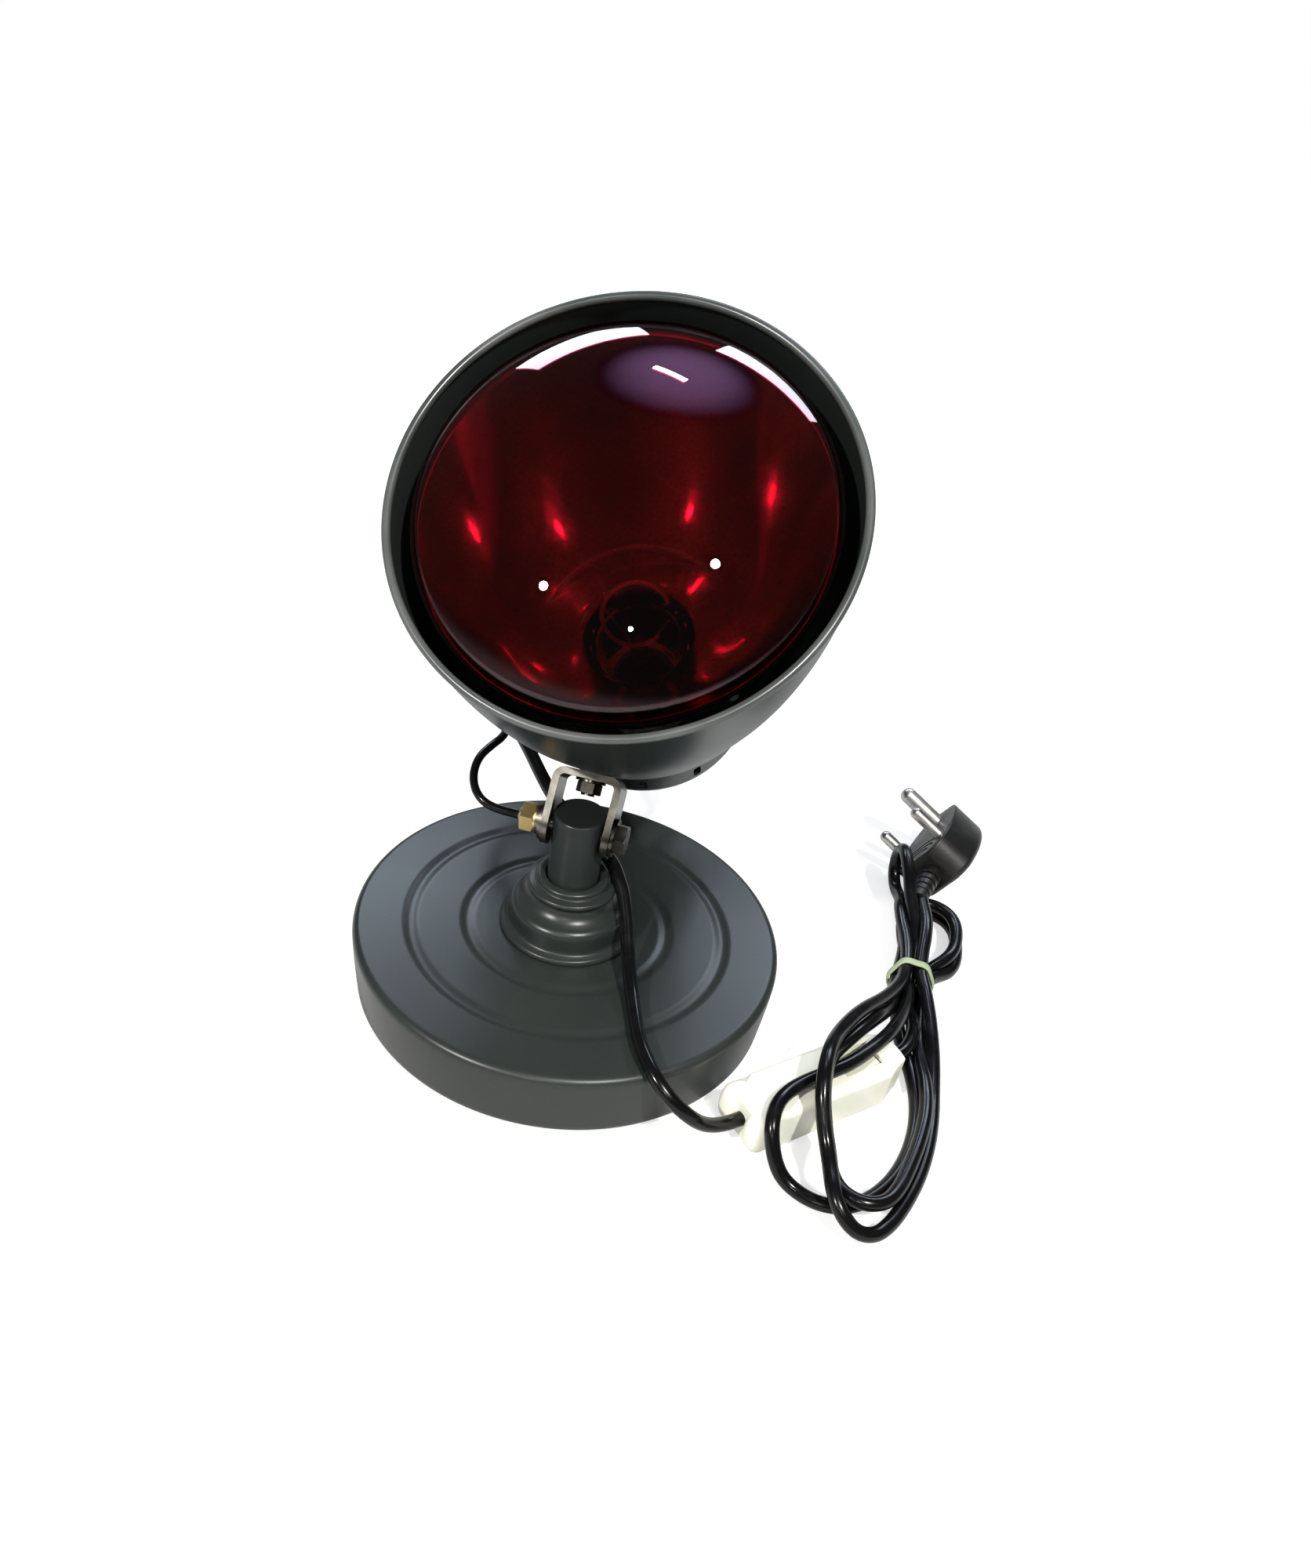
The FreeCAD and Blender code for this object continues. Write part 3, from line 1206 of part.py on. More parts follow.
def make_cords():
    end = switch_length / 2
    lead_in = [switch_point(-end - switch_lead_in), switch_point(switch_lead_end - end)]
    keep("lamp_lead_upper", tube("lamp lead, upper", lead_upper_route, lead_diameter))
    keep("lamp_lead_lower", tube("lamp lead, lower", lead_lower_route + lead_in, lead_diameter))
    keep("bonding_wire", tube("bonding wire", [terminal_mouth()] + wire_route, wire_diameter))
    supply_start = [switch_point(end - switch_lead_end), switch_point(end + switch_lead_out)] + supply_start_route
    keep("supply_lead_start", tube("supply lead, start", supply_start, lead_diameter))
    guard_tip = plug_bottom + guard_length
    middle = -plug_thickness / 2
    plug_end = [plug_point(0, guard_tip - guard_lead_end, middle), plug_point(0, guard_tip + cut_overrun, middle)]
    keep("supply_lead_end", tube("supply lead, end", plug_end + supply_end_route, lead_diameter))
    keep("cord_hank_loops", tube("hank, loops", hank_loops_route, hank_loops_diameter))
    keep("cord_hank_fold", tube("hank, fold", hank_fold_route, hank_fold_diameter))
    keep("cord_side_loop", tube("side loop", side_loop_route, lead_diameter))


def switch_point(along):
    turn = math.radians(switch_turn)
    return switch_centre + V(math.cos(turn), math.sin(turn), 0) * along + V(0, 0, switch_parting)


def terminal_mouth():
    angle = math.radians(terminal_angle)
    face = ear_outer + ear_side_clearance + pivot_washer_thickness + spring_washer_thickness
    return pivot + V(-face - terminal_wire_reach, terminal_offset * math.cos(angle),
                     terminal_offset * math.sin(angle))


def make_tie():
    """Narrow strap round the waist of the hank, and the waist that it grips."""
    waist = across_hank(waist_outline, waist_near, waist_far)
    keep("cord_hank_waist", waist)
    keep("cord_tie", across_hank(tie_outline, tie_near, tie_far).cut(waist))


def across_hank(outline, near, far):
    points = [(V(step[0], near, step[1]), step[2] if len(step) > 2 else 0) for step in outline]
    return sound(Part.Face(closed_wire(points, V(0, -1, 0))).extrude(V(0, far - near, 0)))


# ---------------------------------------------------------------- build and write
make_collar()
make_base()
make_post(make_post_screw())
make_pivot()
make_yoke()
make_yoke_bolt()
make_shade()
make_rear_cap()
make_gland()
make_holder()
make_bulb()
make_switch()
make_plug()
make_cords()
make_tie()

os.makedirs("parts", exist_ok=True)
for name, shape in PARTS.items():
    if not shape.isValid():
        print("not valid:", name)
    shape.exportStep(f"parts/{name}.step")
print(len(PARTS), "nodes, mouth centre", mouth_centre)
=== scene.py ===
# %% [markdown]
# This lesson dresses a heat therapy lamp: a spun shade round a red reflector bulb, tilting on a bolted
# yoke over a heavy round base, with a lead, an in-line rocker switch and a hank of cord. The solid parts
# come ready made in one shared frame, in metres, so everything here is a finish, or a piece that the
# solids leave out or only hold the place of. The solids' own box is kept, and the floor is set just
# under it.

# %% Load the solid parts
import math
import bpy
import numpy as np
from mathutils import Matrix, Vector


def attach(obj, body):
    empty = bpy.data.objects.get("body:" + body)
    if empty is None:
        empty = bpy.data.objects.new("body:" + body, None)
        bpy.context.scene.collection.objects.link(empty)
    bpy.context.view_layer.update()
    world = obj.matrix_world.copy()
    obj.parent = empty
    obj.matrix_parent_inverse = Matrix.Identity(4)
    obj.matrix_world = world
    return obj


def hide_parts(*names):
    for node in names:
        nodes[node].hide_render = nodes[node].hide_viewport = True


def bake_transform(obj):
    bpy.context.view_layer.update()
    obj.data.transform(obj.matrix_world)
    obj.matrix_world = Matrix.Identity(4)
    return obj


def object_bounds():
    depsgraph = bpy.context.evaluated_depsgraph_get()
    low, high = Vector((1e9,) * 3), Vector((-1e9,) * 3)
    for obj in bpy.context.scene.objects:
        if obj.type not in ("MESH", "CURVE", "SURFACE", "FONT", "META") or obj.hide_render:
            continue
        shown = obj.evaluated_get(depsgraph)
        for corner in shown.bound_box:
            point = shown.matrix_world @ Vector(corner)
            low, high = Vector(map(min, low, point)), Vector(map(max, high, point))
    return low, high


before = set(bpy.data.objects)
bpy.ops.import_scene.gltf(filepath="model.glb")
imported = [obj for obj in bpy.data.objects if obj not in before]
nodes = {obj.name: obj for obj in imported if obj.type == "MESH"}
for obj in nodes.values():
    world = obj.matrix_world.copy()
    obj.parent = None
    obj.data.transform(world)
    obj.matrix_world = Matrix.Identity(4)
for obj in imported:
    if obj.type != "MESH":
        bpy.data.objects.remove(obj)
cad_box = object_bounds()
MM = 0.001
print("solid parts:", len(nodes), "in the box", cad_box)

# %% [markdown]
# The photograph's camera looks down at the lamp from the front and a little to the right, with a wide
# lens, and its frame is moved off the lens's axis by a small shift. It could be aimed with a constraint,
# but its sideways and upward directions, written out, are exact, and the third one follows from them.

# %% Camera
LENS_MM = 27.0
LENS_SHIFT = (0.068, 0.075)
camera_place = np.array([72.01, -331.67, 320.79]) * MM
camera_right = np.array([0.94916, 0.30292, 0.08567])
camera_up = np.array([-0.25862, 0.59517, 0.76084])
camera_data = bpy.data.cameras.new("camera")
camera_data.lens = LENS_MM
camera_data.shift_x, camera_data.shift_y = LENS_SHIFT
camera_data.clip_start = 0.01
camera = bpy.data.objects.new("camera", camera_data)
bpy.context.scene.collection.objects.link(camera)
camera_turn = np.eye(4)
camera_turn[:3, 0] = camera_right
camera_turn[:3, 1] = camera_up
camera_turn[:3, 2] = np.cross(camera_right, camera_up)
camera_turn[:3, 3] = camera_place
camera.matrix_world = Matrix(camera_turn.tolist())
bpy.context.scene.camera = camera
print("camera at", camera_place, "lens", LENS_MM)

# %% [markdown]
# Every finish here is worked out in the shader, so shader sums are written as Python sums. One small
# class holds a socket, and each operator on it adds a Math node to the same material. A second class
# holds the material itself: its node() adds any node, sets it first and then fills its sockets.

# %% Shader sums
class Value:
    """A socket's value; an operator on it adds the Math node that works the sum out."""

    def __init__(self, finish, socket):
        self.finish, self.socket = finish, socket

    def maths(self, operation, *terms):
        """Adds one Math node of that operation on the terms."""
        return self.finish.node("ShaderNodeMath", {"operation": operation}, dict(enumerate(terms)))

    def __add__(self, other):
        return self.maths("ADD", self, other)

    def __radd__(self, other):
        return self.maths("ADD", other, self)

    def __sub__(self, other):
        return self.maths("SUBTRACT", self, other)

    def __rsub__(self, other):
        return self.maths("SUBTRACT", other, self)

    def __mul__(self, other):
        return self.maths("MULTIPLY", self, other)

    def __rmul__(self, other):
        return self.maths("MULTIPLY", other, self)


class Finish:
    """One material, or the world, whose nodes are added by node()."""

    def __init__(self, name, owner=None, output="ShaderNodeOutputMaterial"):
        self.material = owner or bpy.data.materials.new(name)
        self.material.use_nodes = True
        self.tree = self.material.node_tree
        self.tree.nodes.clear()
        self.end = self.tree.nodes.new(output)

    def node(self, kind, settings=None, inputs=None, output=0):
        """Adds a node of that kind: its settings, then its inputs, which are values or links."""
        made = self.tree.nodes.new(kind)
        for key, value in (settings or {}).items():
            setattr(made, key, value)
        for key, value in (inputs or {}).items():
            if isinstance(value, Value):
                self.tree.links.new(value.socket, made.inputs[key])
            else:
                made.inputs[key].default_value = value
        return Value(self, made.outputs[output])

    def place(self):
        """The point on the object, in metres."""
        return self.node("ShaderNodeTexCoord", output="Object")

    def noise(self, scale, detail=2.0, place=None):
        """Noise from 0 to 1 with that many lumps to the metre."""
        inputs = {"Vector": place or self.place(), "Scale": scale, "Detail": detail}
        return self.node("ShaderNodeTexNoise", None, inputs)

    def blend(self, share, first, second):
        """A colour that goes from the first to the second as share goes from 0 to 1."""
        inputs = {0: share, 6: colour(first), 7: colour(second)}
        return self.node("ShaderNodeMix", {"data_type": "RGBA"}, inputs, output=2)

    def between(self, value, low, high, first=0.0, second=1.0):
        """value from low to high, spread over first to second and held there outside."""
        inputs = {"Value": value, "From Min": low, "From Max": high, "To Min": first, "To Max": second}
        return self.node("ShaderNodeMapRange", {"interpolation_type": "SMOOTHSTEP"}, inputs)

    def bump(self, height, depth_mm, strength=1.0):
        """The surface's normal with that height, from 0 to 1, standing depth_mm proud."""
        inputs = {"Height": height, "Distance": depth_mm * MM, "Strength": strength}
        return self.node("ShaderNodeBump", None, inputs)

    def surface(self, **inputs):
        """Ends the material with the Principled shader, whose inputs are named with _ for spaces."""
        named = {key.replace("_", " "): value for key, value in inputs.items()}
        shader = self.node("ShaderNodeBsdfPrincipled", None, named)
        return self.close(shader)

    def close(self, shader):
        """Joins a shader to the output."""
        self.tree.links.new(shader.socket, self.end.inputs["Surface"])
        return self.material


def colour(value):
    """Three numbers as a colour with full alpha; a link stays a link."""
    return value if isinstance(value, Value) else (*value, 1.0)


print("shader classes ready")

# %% [markdown]
# The lamp stands on a pale sweep, far larger than itself, in a room with a few lights. What the camera
# sees of the sweep is lifted to white, and what gloss and glass see of it a fifth as much, while the lamp
# still shades it. To the camera the room is white as well. To gloss and glass it is dim above the sweep,
# so that dark paint and the dome of the bulb keep their depth, and small lights, two pale blue panels and
# a violet patch of sky give them something to mirror.

# %% Floor, room and lights
FLOOR_SIDE = 6.0
FLOOR_GAP = 0.0002
FLOOR_TONE = (0.5, 0.5, 0.5)
FLOOR_LIFT_FROM = (0.25, 1.3)
FLOOR_LIFT = (0.62, 0.95)
FLOOR_IN_GLOSS = 0.2
AMBIENT = 0.36
HORIZON = (0.02, 0.16)
HORIZON_GLOW, DIM = 0.4, 0.05
WHITE, VIOLET = (1.0, 1.0, 1.0), (0.58, 0.46, 1.0)
PATCH_TOWARDS = (-0.09, 0.50, 0.86)
PATCH_EDGE = (0.94, 0.955)
PATCH_RISE = (0.95, 1.0)
PATCH_GLOW = 1.7
LAMP_AIM = (0.0, 0.0, 0.1)


def light_path(finish, name):
    """1 for rays of that kind."""
    return finish.node("ShaderNodeLightPath", output=name)


def gloss_and_glass(finish):
    """1 for rays that left a glossy surface or came through glass."""
    glossy = light_path(finish, "Is Glossy Ray")
    return glossy.maths("MAXIMUM", glossy, light_path(finish, "Is Transmission Ray"))


floor_finish = Finish("pale_sweep")
matt = floor_finish.node("ShaderNodeBsdfDiffuse", None, {"Color": colour(FLOOR_TONE)})
background_seen = light_path(floor_finish, "Is Camera Ray") + gloss_and_glass(floor_finish) * FLOOR_IN_GLOSS
far_off = floor_finish.node("ShaderNodeVectorMath", {"operation": "LENGTH"}, {0: floor_finish.place()},
                            output="Value")
lift = floor_finish.between(far_off, *FLOOR_LIFT_FROM, *FLOOR_LIFT)
glow = floor_finish.node("ShaderNodeEmission", None,
                         {"Color": colour(WHITE), "Strength": background_seen * lift})
floor_material = floor_finish.close(floor_finish.node("ShaderNodeAddShader", None, {0: matt, 1: glow}))
half = FLOOR_SIDE / 2
floor_mesh = bpy.data.meshes.new("floor")
corners = [(-half, -half, 0), (half, -half, 0), (half, half, 0), (-half, half, 0)]
floor_mesh.from_pydata(corners, [], [(0, 1, 2, 3)])
floor_mesh.materials.append(floor_material)
floor = bpy.data.objects.new("floor", floor_mesh)
floor.location.z = cad_box[0][2] - FLOOR_GAP
bpy.context.scene.collection.objects.link(floor)

world = bpy.data.worlds.new("room")
bpy.context.scene.world = world
room = Finish("room", world, "ShaderNodeOutputWorld")
direction = room.node("ShaderNodeTexCoord", output="Generated")
height = room.node("ShaderNodeSeparateXYZ", None, {0: direction}, output="Z")
mirrored = gloss_and_glass(room)
reflected = room.between(height, *HORIZON, HORIZON_GLOW, DIM)
near_patch = room.node("ShaderNodeVectorMath", {"operation": "DOT_PRODUCT"}, {0: direction, 1: PATCH_TOWARDS},
                       output="Value")
patch = room.between(near_patch, *PATCH_RISE) * mirrored
strength = (AMBIENT + (1 - AMBIENT) * light_path(room, "Is Camera Ray") + mirrored * (reflected - AMBIENT)
            + PATCH_GLOW * patch)
tint = room.blend(room.between(near_patch, *PATCH_EDGE) * mirrored, WHITE, VIOLET)
room.close(room.node("ShaderNodeBackground", None, {"Color": tint, "Strength": strength}))


def soft_box(name, towards, far, width, depth, power, tint, shape="RECTANGLE", roll=0.0):
    """A flat lamp of width by depth, that far off in that direction, facing the object, rolled by degrees."""
    data = bpy.data.lights.new(name, "AREA")
    data.shape = shape
    data.size, data.size_y, data.energy, data.color = width, depth, power, tint
    lamp = bpy.data.objects.new(name, data)
    towards = np.array(towards) / np.linalg.norm(towards)
    side = np.cross((0, 0, 1), towards)
    side /= np.linalg.norm(side)
    other = np.cross(towards, side)
    c, s = math.cos(math.radians(roll)), math.sin(math.radians(roll))
    turn = np.eye(4)
    turn[:3, 0], turn[:3, 1], turn[:3, 2] = c * side + s * other, c * other - s * side, towards
    turn[:3, 3] = np.array(LAMP_AIM) + towards * far
    lamp.matrix_world = Matrix(turn.tolist())
    bpy.context.scene.collection.objects.link(lamp)


WARM, PALE_BLUE = (1.0, 0.97, 0.93), (0.74, 0.86, 1.0)
# direction, distance, width, depth, power, tint, shape and roll
lamp_table = {
    "spot_left": ((-0.42, -0.67, 0.61), 1.7, 0.08, 0.08, 22.0, WARM, "ELLIPSE"),
    "spot_right": ((0.40, -0.43, 0.81), 1.7, 0.08, 0.08, 27.0, WARM, "ELLIPSE"),
    "spot_front": ((0.09, -0.83, 0.56), 1.7, 0.045, 0.045, 3.0, WARM, "ELLIPSE"),
    "panel_left": ((-0.43, 0.70, 0.57), 1.7, 0.66, 0.27, 5.6, PALE_BLUE),
    "panel_right": ((0.20, 0.74, 0.64), 1.7, 0.75, 0.27, 6.8, PALE_BLUE),
    "strip_top": ((-0.12, 0.48, 0.87), 1.6, 0.24, 0.045, 1.3, WHITE, "RECTANGLE", -40.0),
}
for name, row in lamp_table.items():
    soft_box(name, *row)
bpy.context.scene.view_settings.view_transform = "Standard"
print("floor", FLOOR_SIDE, "m, lamps", len(lamp_table))

# %% [markdown]
# Shade, rear cap, base, collar and post wear one baked charcoal paint with a greenish cast. Its gloss is
# broken by a faint orange peel and a dusting of lighter specks, and it is rougher in slow clouds. A flat
# grey would look like plastic, so the peel goes into the normal and the specks into the colour.

# %% Charcoal paint
def charcoal_paint():
    """Dark paint: colour from two sizes of cloud, roughness from the larger, peel as bump."""
    f = Finish("charcoal_paint")
    cloud, peel, speck = f.noise(9.0, 3.0), f.noise(420.0, 2.0), f.noise(1500.0, 1.0)
    tone = f.blend(f.between(cloud, 0.3, 0.7), (0.0145, 0.0185, 0.0175), (0.022, 0.027, 0.0255))
    dusted = f.blend(f.between(speck, 0.66, 0.8) * 0.25, tone, (0.075, 0.082, 0.08))
    rough = f.between(cloud, 0.3, 0.7, 0.30, 0.37)
    return f.surface(Base_Color=dusted, Roughness=rough, Specular_IOR_Level=0.42,
                     Normal=f.bump(peel, 0.015, 0.3))


finishes = {"charcoal_paint": charcoal_paint()}
print("paint:", list(finishes))

# %% [markdown]
# The bare metal parts each have their own skin: dulled zinc with a faint yellow mottle, turned brass,
# nickel on the plug's pins, grey iron for the weight, and the bulb's own cap and wires. Brushed and turned
# marks could be modelled, but they are a few hundredths of a millimetre deep, so stretched noise in the
# bump gives them at any distance.

# %% Metals
def metal(name, dark, bright, rough, grain, depth_mm, stretch=(1.0, 1.0, 1.0)):
    """Metal between two tones by slow noise, with grain drawn out along an axis as bump."""
    f = Finish(name)
    place = f.node("ShaderNodeMapping", None, {"Vector": f.place(), "Scale": stretch})
    mottle, lines = f.noise(60.0, 4.0), f.noise(grain, 3.0, place)
    tone = f.blend(f.between(mottle, 0.3, 0.72), dark, bright)
    worn = f.between(mottle, 0.3, 0.7, rough, rough + 0.14)
    return f.surface(Base_Color=tone, Metallic=1.0, Roughness=worn, Normal=f.bump(lines, depth_mm, 0.5))


# darker tone, brighter tone, least roughness, grain to the metre, depth of the grain and its stretch
metal_table = {
    "cast_weight": ((0.10, 0.10, 0.10), (0.20, 0.20, 0.195), 0.55, 240.0, 0.08),
    "zinc_steel": ((0.09, 0.083, 0.068), (0.31, 0.295, 0.265), 0.22, 700.0, 0.012, (1.0, 6.0, 1.0)),
    "brass": ((0.60, 0.42, 0.16), (0.80, 0.61, 0.28), 0.22, 900.0, 0.01, (6.0, 1.0, 1.0)),
    "plated_pin": ((0.50, 0.49, 0.46), (0.70, 0.69, 0.66), 0.30, 800.0, 0.012, (1.0, 1.0, 4.0)),
    "cap_metal": ((0.56, 0.55, 0.52), (0.74, 0.73, 0.70), 0.28, 600.0, 0.02),
    "filament_wire": ((0.20, 0.20, 0.21), (0.34, 0.34, 0.35), 0.35, 1500.0, 0.004),
}
print("metals:", len(metal_table))

# %% [markdown]
# The moulded parts are plastics: ivory for the switch, with a greyer rocker, and black for plug and gland.
# A moulding has a fine spark-eroded texture from its mould and picks up a little grime here and there. One
# function makes them all, and pad, tie, ceramic and insulator too, from a tone, a grime tone and the
# texture's depth. The cords, the ruby glass and the bulb's mirror film have a function each.

# %% Plastics, rubber, ceramic and glass
def moulding(name, tone, grime, rough, depth_mm, grain=1300.0, glow_through=0.0):
    """Plastic: slow cloud of grime in the colour, fine mould texture as bump."""
    f = Finish(name)
    cloud, fine = f.noise(75.0, 4.0), f.noise(grain, 2.0)
    mixed = f.blend(f.between(cloud, 0.45, 0.75) * 0.6, tone, grime)
    return f.surface(Base_Color=mixed, Roughness=f.between(cloud, 0.3, 0.7, rough, rough + 0.12),
                     Normal=f.bump(fine, depth_mm, 0.5), Subsurface_Weight=glow_through,
                     Subsurface_Scale=0.002)


# tone, grime, least roughness, depth of the mould's texture, its grain to the metre and glow through
moulding_table = {
    "ivory_plastic": ((0.93, 0.94, 0.81), (0.84, 0.85, 0.68), 0.36, 0.02, 1300.0, 0.15),
    "rocker_plastic": ((0.70, 0.72, 0.58), (0.60, 0.62, 0.47), 0.34, 0.02, 1300.0, 0.1),
    "black_plastic": ((0.008, 0.008, 0.0075), (0.022, 0.022, 0.019), 0.36, 0.08, 700.0),
    "foot_pad": ((0.022, 0.022, 0.022), (0.05, 0.048, 0.045), 0.85, 0.15, 500.0),
    "tie_band": ((0.33, 0.41, 0.25), (0.24, 0.31, 0.17), 0.45, 0.03, 900.0, 0.1),
    "holder_ceramic": ((0.74, 0.72, 0.66), (0.62, 0.59, 0.52), 0.22, 0.02, 500.0, 0.1),
    "insulator_glass": ((0.02, 0.03, 0.05), (0.04, 0.05, 0.08), 0.12, 0.01, 400.0),
}


def cord_sheath():
    """Black glossy cord cover: dust clouds in the colour and the gloss, faint scuffs as bump."""
    f = Finish("cord_sheath")
    dust, scuff = f.noise(130.0, 4.0), f.noise(420.0, 2.0)
    tone = f.blend(f.between(dust, 0.5, 0.78) * 0.5, (0.0035, 0.0035, 0.004), (0.011, 0.011, 0.012))
    return f.surface(Base_Color=tone, Roughness=f.between(dust, 0.3, 0.7, 0.16, 0.25), Specular_IOR_Level=0.3,
                     Normal=f.bump(scuff, 0.012, 0.3))


def ruby_glass():
    """Deep red glass seen through, with slow waves in its blown surface."""
    f = Finish("ruby_glass")
    wave, stain = f.noise(22.0, 1.0), f.noise(14.0, 2.0)
    tone = f.blend(f.between(stain, 0.3, 0.7), (0.42, 0.026, 0.066), (0.54, 0.036, 0.085))
    return f.surface(Base_Color=tone, Roughness=0.0, Transmission_Weight=1.0, IOR=1.5,
                     Normal=f.bump(wave, 0.2, 0.3))


def silvering():
    """Metal film laid on blown glass: a clear mirror and a cloudy one, mixed by slow clouds."""
    f = Finish("mirror_film")
    cloud, mottle = f.noise(30.0, 3.0), f.noise(160.0, 4.0)
    tone = f.blend(f.between(mottle, 0.3, 0.72), (0.80, 0.78, 0.76), (0.92, 0.91, 0.90))
    film = {"Base Color": tone, "Metallic": 1.0, "Normal": f.bump(mottle, 0.006, 0.5)}
    clear, cloudy = (f.node("ShaderNodeBsdfPrincipled", None, {**film, "Roughness": rough})
                     for rough in (0.06, 0.16))
    cloudiness = f.between(cloud, 0.3, 0.7, 0.15, 0.45)
    return f.close(f.node("ShaderNodeMixShader", None, {0: cloudiness, 1: clear, 2: cloudy}))


finishes.update({"cord_sheath": cord_sheath(), "ruby_glass": ruby_glass(), "mirror_film": silvering()})
finishes.update({name: metal(name, *row) for name, row in metal_table.items()})
finishes.update({name: moulding(name, *row) for name, row in moulding_table.items()})
for node in nodes.values():
    for slot in node.material_slots:
        slot.material = finishes[slot.material.name.split(".")[0]]
print("finishes:", sorted(finishes))

# %% [markdown]
# Each cord follows one smooth line. The line is a spline whose control points are the route's own points,
# and a tube is a grid round it: at each place along the line a ring of points in the plane across it. A
# ready-made bevel does for a cord that stays still, and the lead and the bonding wire are made as meshes.

# %% Lines and tubes
def route_curve(name, points_mm):
    """An open spline of order 3 through space, with the points as its control points."""
    curve = bpy.data.curves.new(name, "CURVE")
    curve.dimensions = "3D"
    curve.resolution_u = 8
    spline = curve.splines.new("NURBS")
    spline.points.add(len(points_mm) - 1)
    four = np.column_stack([np.array(points_mm) * MM, np.ones(len(points_mm))])
    spline.points.foreach_set("co", four.ravel())
    spline.order_u = 3
    spline.use_endpoint_u = True
    return curve


def line_of(points_mm):
    """The spline's own points as an array, read from a curve with no bevel."""
    holder = bpy.data.objects.new("line", route_curve("line", points_mm))
    bpy.context.scene.collection.objects.link(holder)
    bpy.context.view_layer.update()
    mesh = bpy.data.meshes.new_from_object(holder)
    line = np.empty(3 * len(mesh.vertices))
    mesh.vertices.foreach_get("co", line)
    bpy.data.objects.remove(holder)
    bpy.data.meshes.remove(mesh)
    return line.reshape(-1, 3)


def grid_mesh(name, grid, wrap_u=False):
    """A mesh from closed rings of points (rings, points, 3): each cell is a face.

    The last ring joins the first if wrap_u is set, and otherwise a face closes each end.
    """
    rings, columns = grid.shape[:2]
    index = np.arange(rings * columns).reshape(rings, columns)
    if wrap_u:
        index = np.vstack([index, index[:1]])
    index = np.hstack([index, index[:, :1]])
    cells = np.stack([index[:-1, :-1], index[:-1, 1:], index[1:, 1:], index[1:, :-1]], axis=-1)
    faces = cells.reshape(-1, 4).tolist()
    if not wrap_u:
        faces += [index[0, :columns][::-1].tolist(), index[-1, :columns].tolist()]
    mesh = bpy.data.meshes.new(name)
    mesh.from_pydata(grid.reshape(-1, 3).tolist(), [], faces)
    mesh.polygons.foreach_set("use_smooth", np.ones(len(faces), dtype=bool))
    mesh.update()
    return mesh


def piece(name, mesh, slot, body, *replaced):
    """Puts a mesh or curve in the scene with its finish, on its body, in place of the named nodes."""
    mesh.materials.append(finishes[slot])
    made = bpy.data.objects.new(name, mesh)
    bpy.context.scene.collection.objects.link(made)
    if body:
        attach(made, body)
    if replaced:
        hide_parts(*replaced)
    return made


def tube_grid(line, radius_mm, sides=20):
    """Rings round a line: radius times cosine of the angle sideways and its sine upwards."""
    along = np.gradient(line, axis=0)
    along /= np.linalg.norm(along, axis=1, keepdims=True)
    sideways = np.cross(along, (0, 0, 1))
    sideways /= np.linalg.norm(sideways, axis=1, keepdims=True)
    upwards = np.cross(sideways, along)
    angle = np.linspace(0, 2 * np.pi, sides, endpoint=False)
    ring = np.cos(angle)[None, :, None] * sideways[:, None] + np.sin(angle)[None, :, None] * upwards[:, None]
    return line[:, None] + radius_mm * MM * ring


print("line and tube helpers ready")

# %% [markdown]
# The lamp's lead leaves the gland on the side of the rear cover, loops out to the left, comes back under
# the yoke and over the base, and runs down to the switch. Its upper half would have to follow the head as
# it tilts; here the whole lead is one fixed mesh, a tube round one line.

# %% Lamp lead
CORD_MM = 5.2
lead_points = [
    (-36.1, 107.67, 62.54), (-44, 106.8, 63.6), (-52, 102, 66), (-57.4, 94.8, 68.6), (-59.2, 86.2, 70.6),
    (-57.6, 77.2, 71.6), (-52.8, 68.8, 71.4), (-46.4, 61, 70.2), (-39.6, 53.4, 68.6), (-33, 45.4, 67.2),
    (-26.8, 37.2, 65.8), (-20, 29.4, 63.6), (-12, 22.4, 60.8), (-3.2, 17.2, 58), (6, 13.6, 55.2),
    (13.2, 8.6, 52.5), (16.5, 4.2, 50.1), (19.8, -0.2, 47.7), (24.2, -8.8, 41.4), (28, -18.6, 35.2),
    (32.2, -29, 31.2), (36.6, -40, 29.9), (40.4, -50, 30), (44.2, -57.8, 30.6), (49.6, -65.2, 29.4),
    (56.8, -69.8, 25.4), (64.4, -69.8, 19.6), (70.6, -65.4, 12.6), (77.26, -58.37, 8.5), (82.83, -52.62, 8.5),
]
lead_line = line_of(lead_points)
lead = piece("lamp_lead", grid_mesh("lamp_lead", tube_grid(lead_line, CORD_MM / 2)), "cord_sheath", None,
             "lamp_lead_upper", "lamp_lead_lower")
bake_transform(lead)

# %% [markdown]
# A thin bonding wire joins the pivot bolt's terminal to the gland. It is the same kind of tube, thinner.

# %% Bonding wire
WIRE_MM = 3.2
wire_points = [
    (-19.3, 6.35, 65.67), (-26.4, 6.2, 65.8), (-33, 5.4, 66.4), (-38.8, 5.8, 67.9), (-43.4, 9.4, 70.2),
    (-46.2, 15.6, 72.8), (-46.6, 23, 75.1), (-44.4, 30.6, 76.2), (-42.6, 38.4, 75.8), (-43.6, 46.6, 75.2),
    (-47.4, 54.8, 75.4), (-52.6, 63, 76.2), (-57.8, 71.6, 76.8), (-61.6, 81.4, 76.6), (-61.6, 91.8, 75),
    (-57.4, 101.2, 72.6), (-50, 108, 69.6), (-42.6, 110.6, 66.6), (-36.1, 110.66, 65.05),
]
wire_line = line_of(wire_points)
wire = piece("bonding_lead", grid_mesh("bonding_lead", tube_grid(wire_line, WIRE_MM / 2, 14)), "cord_sheath",
             None, "bonding_wire")
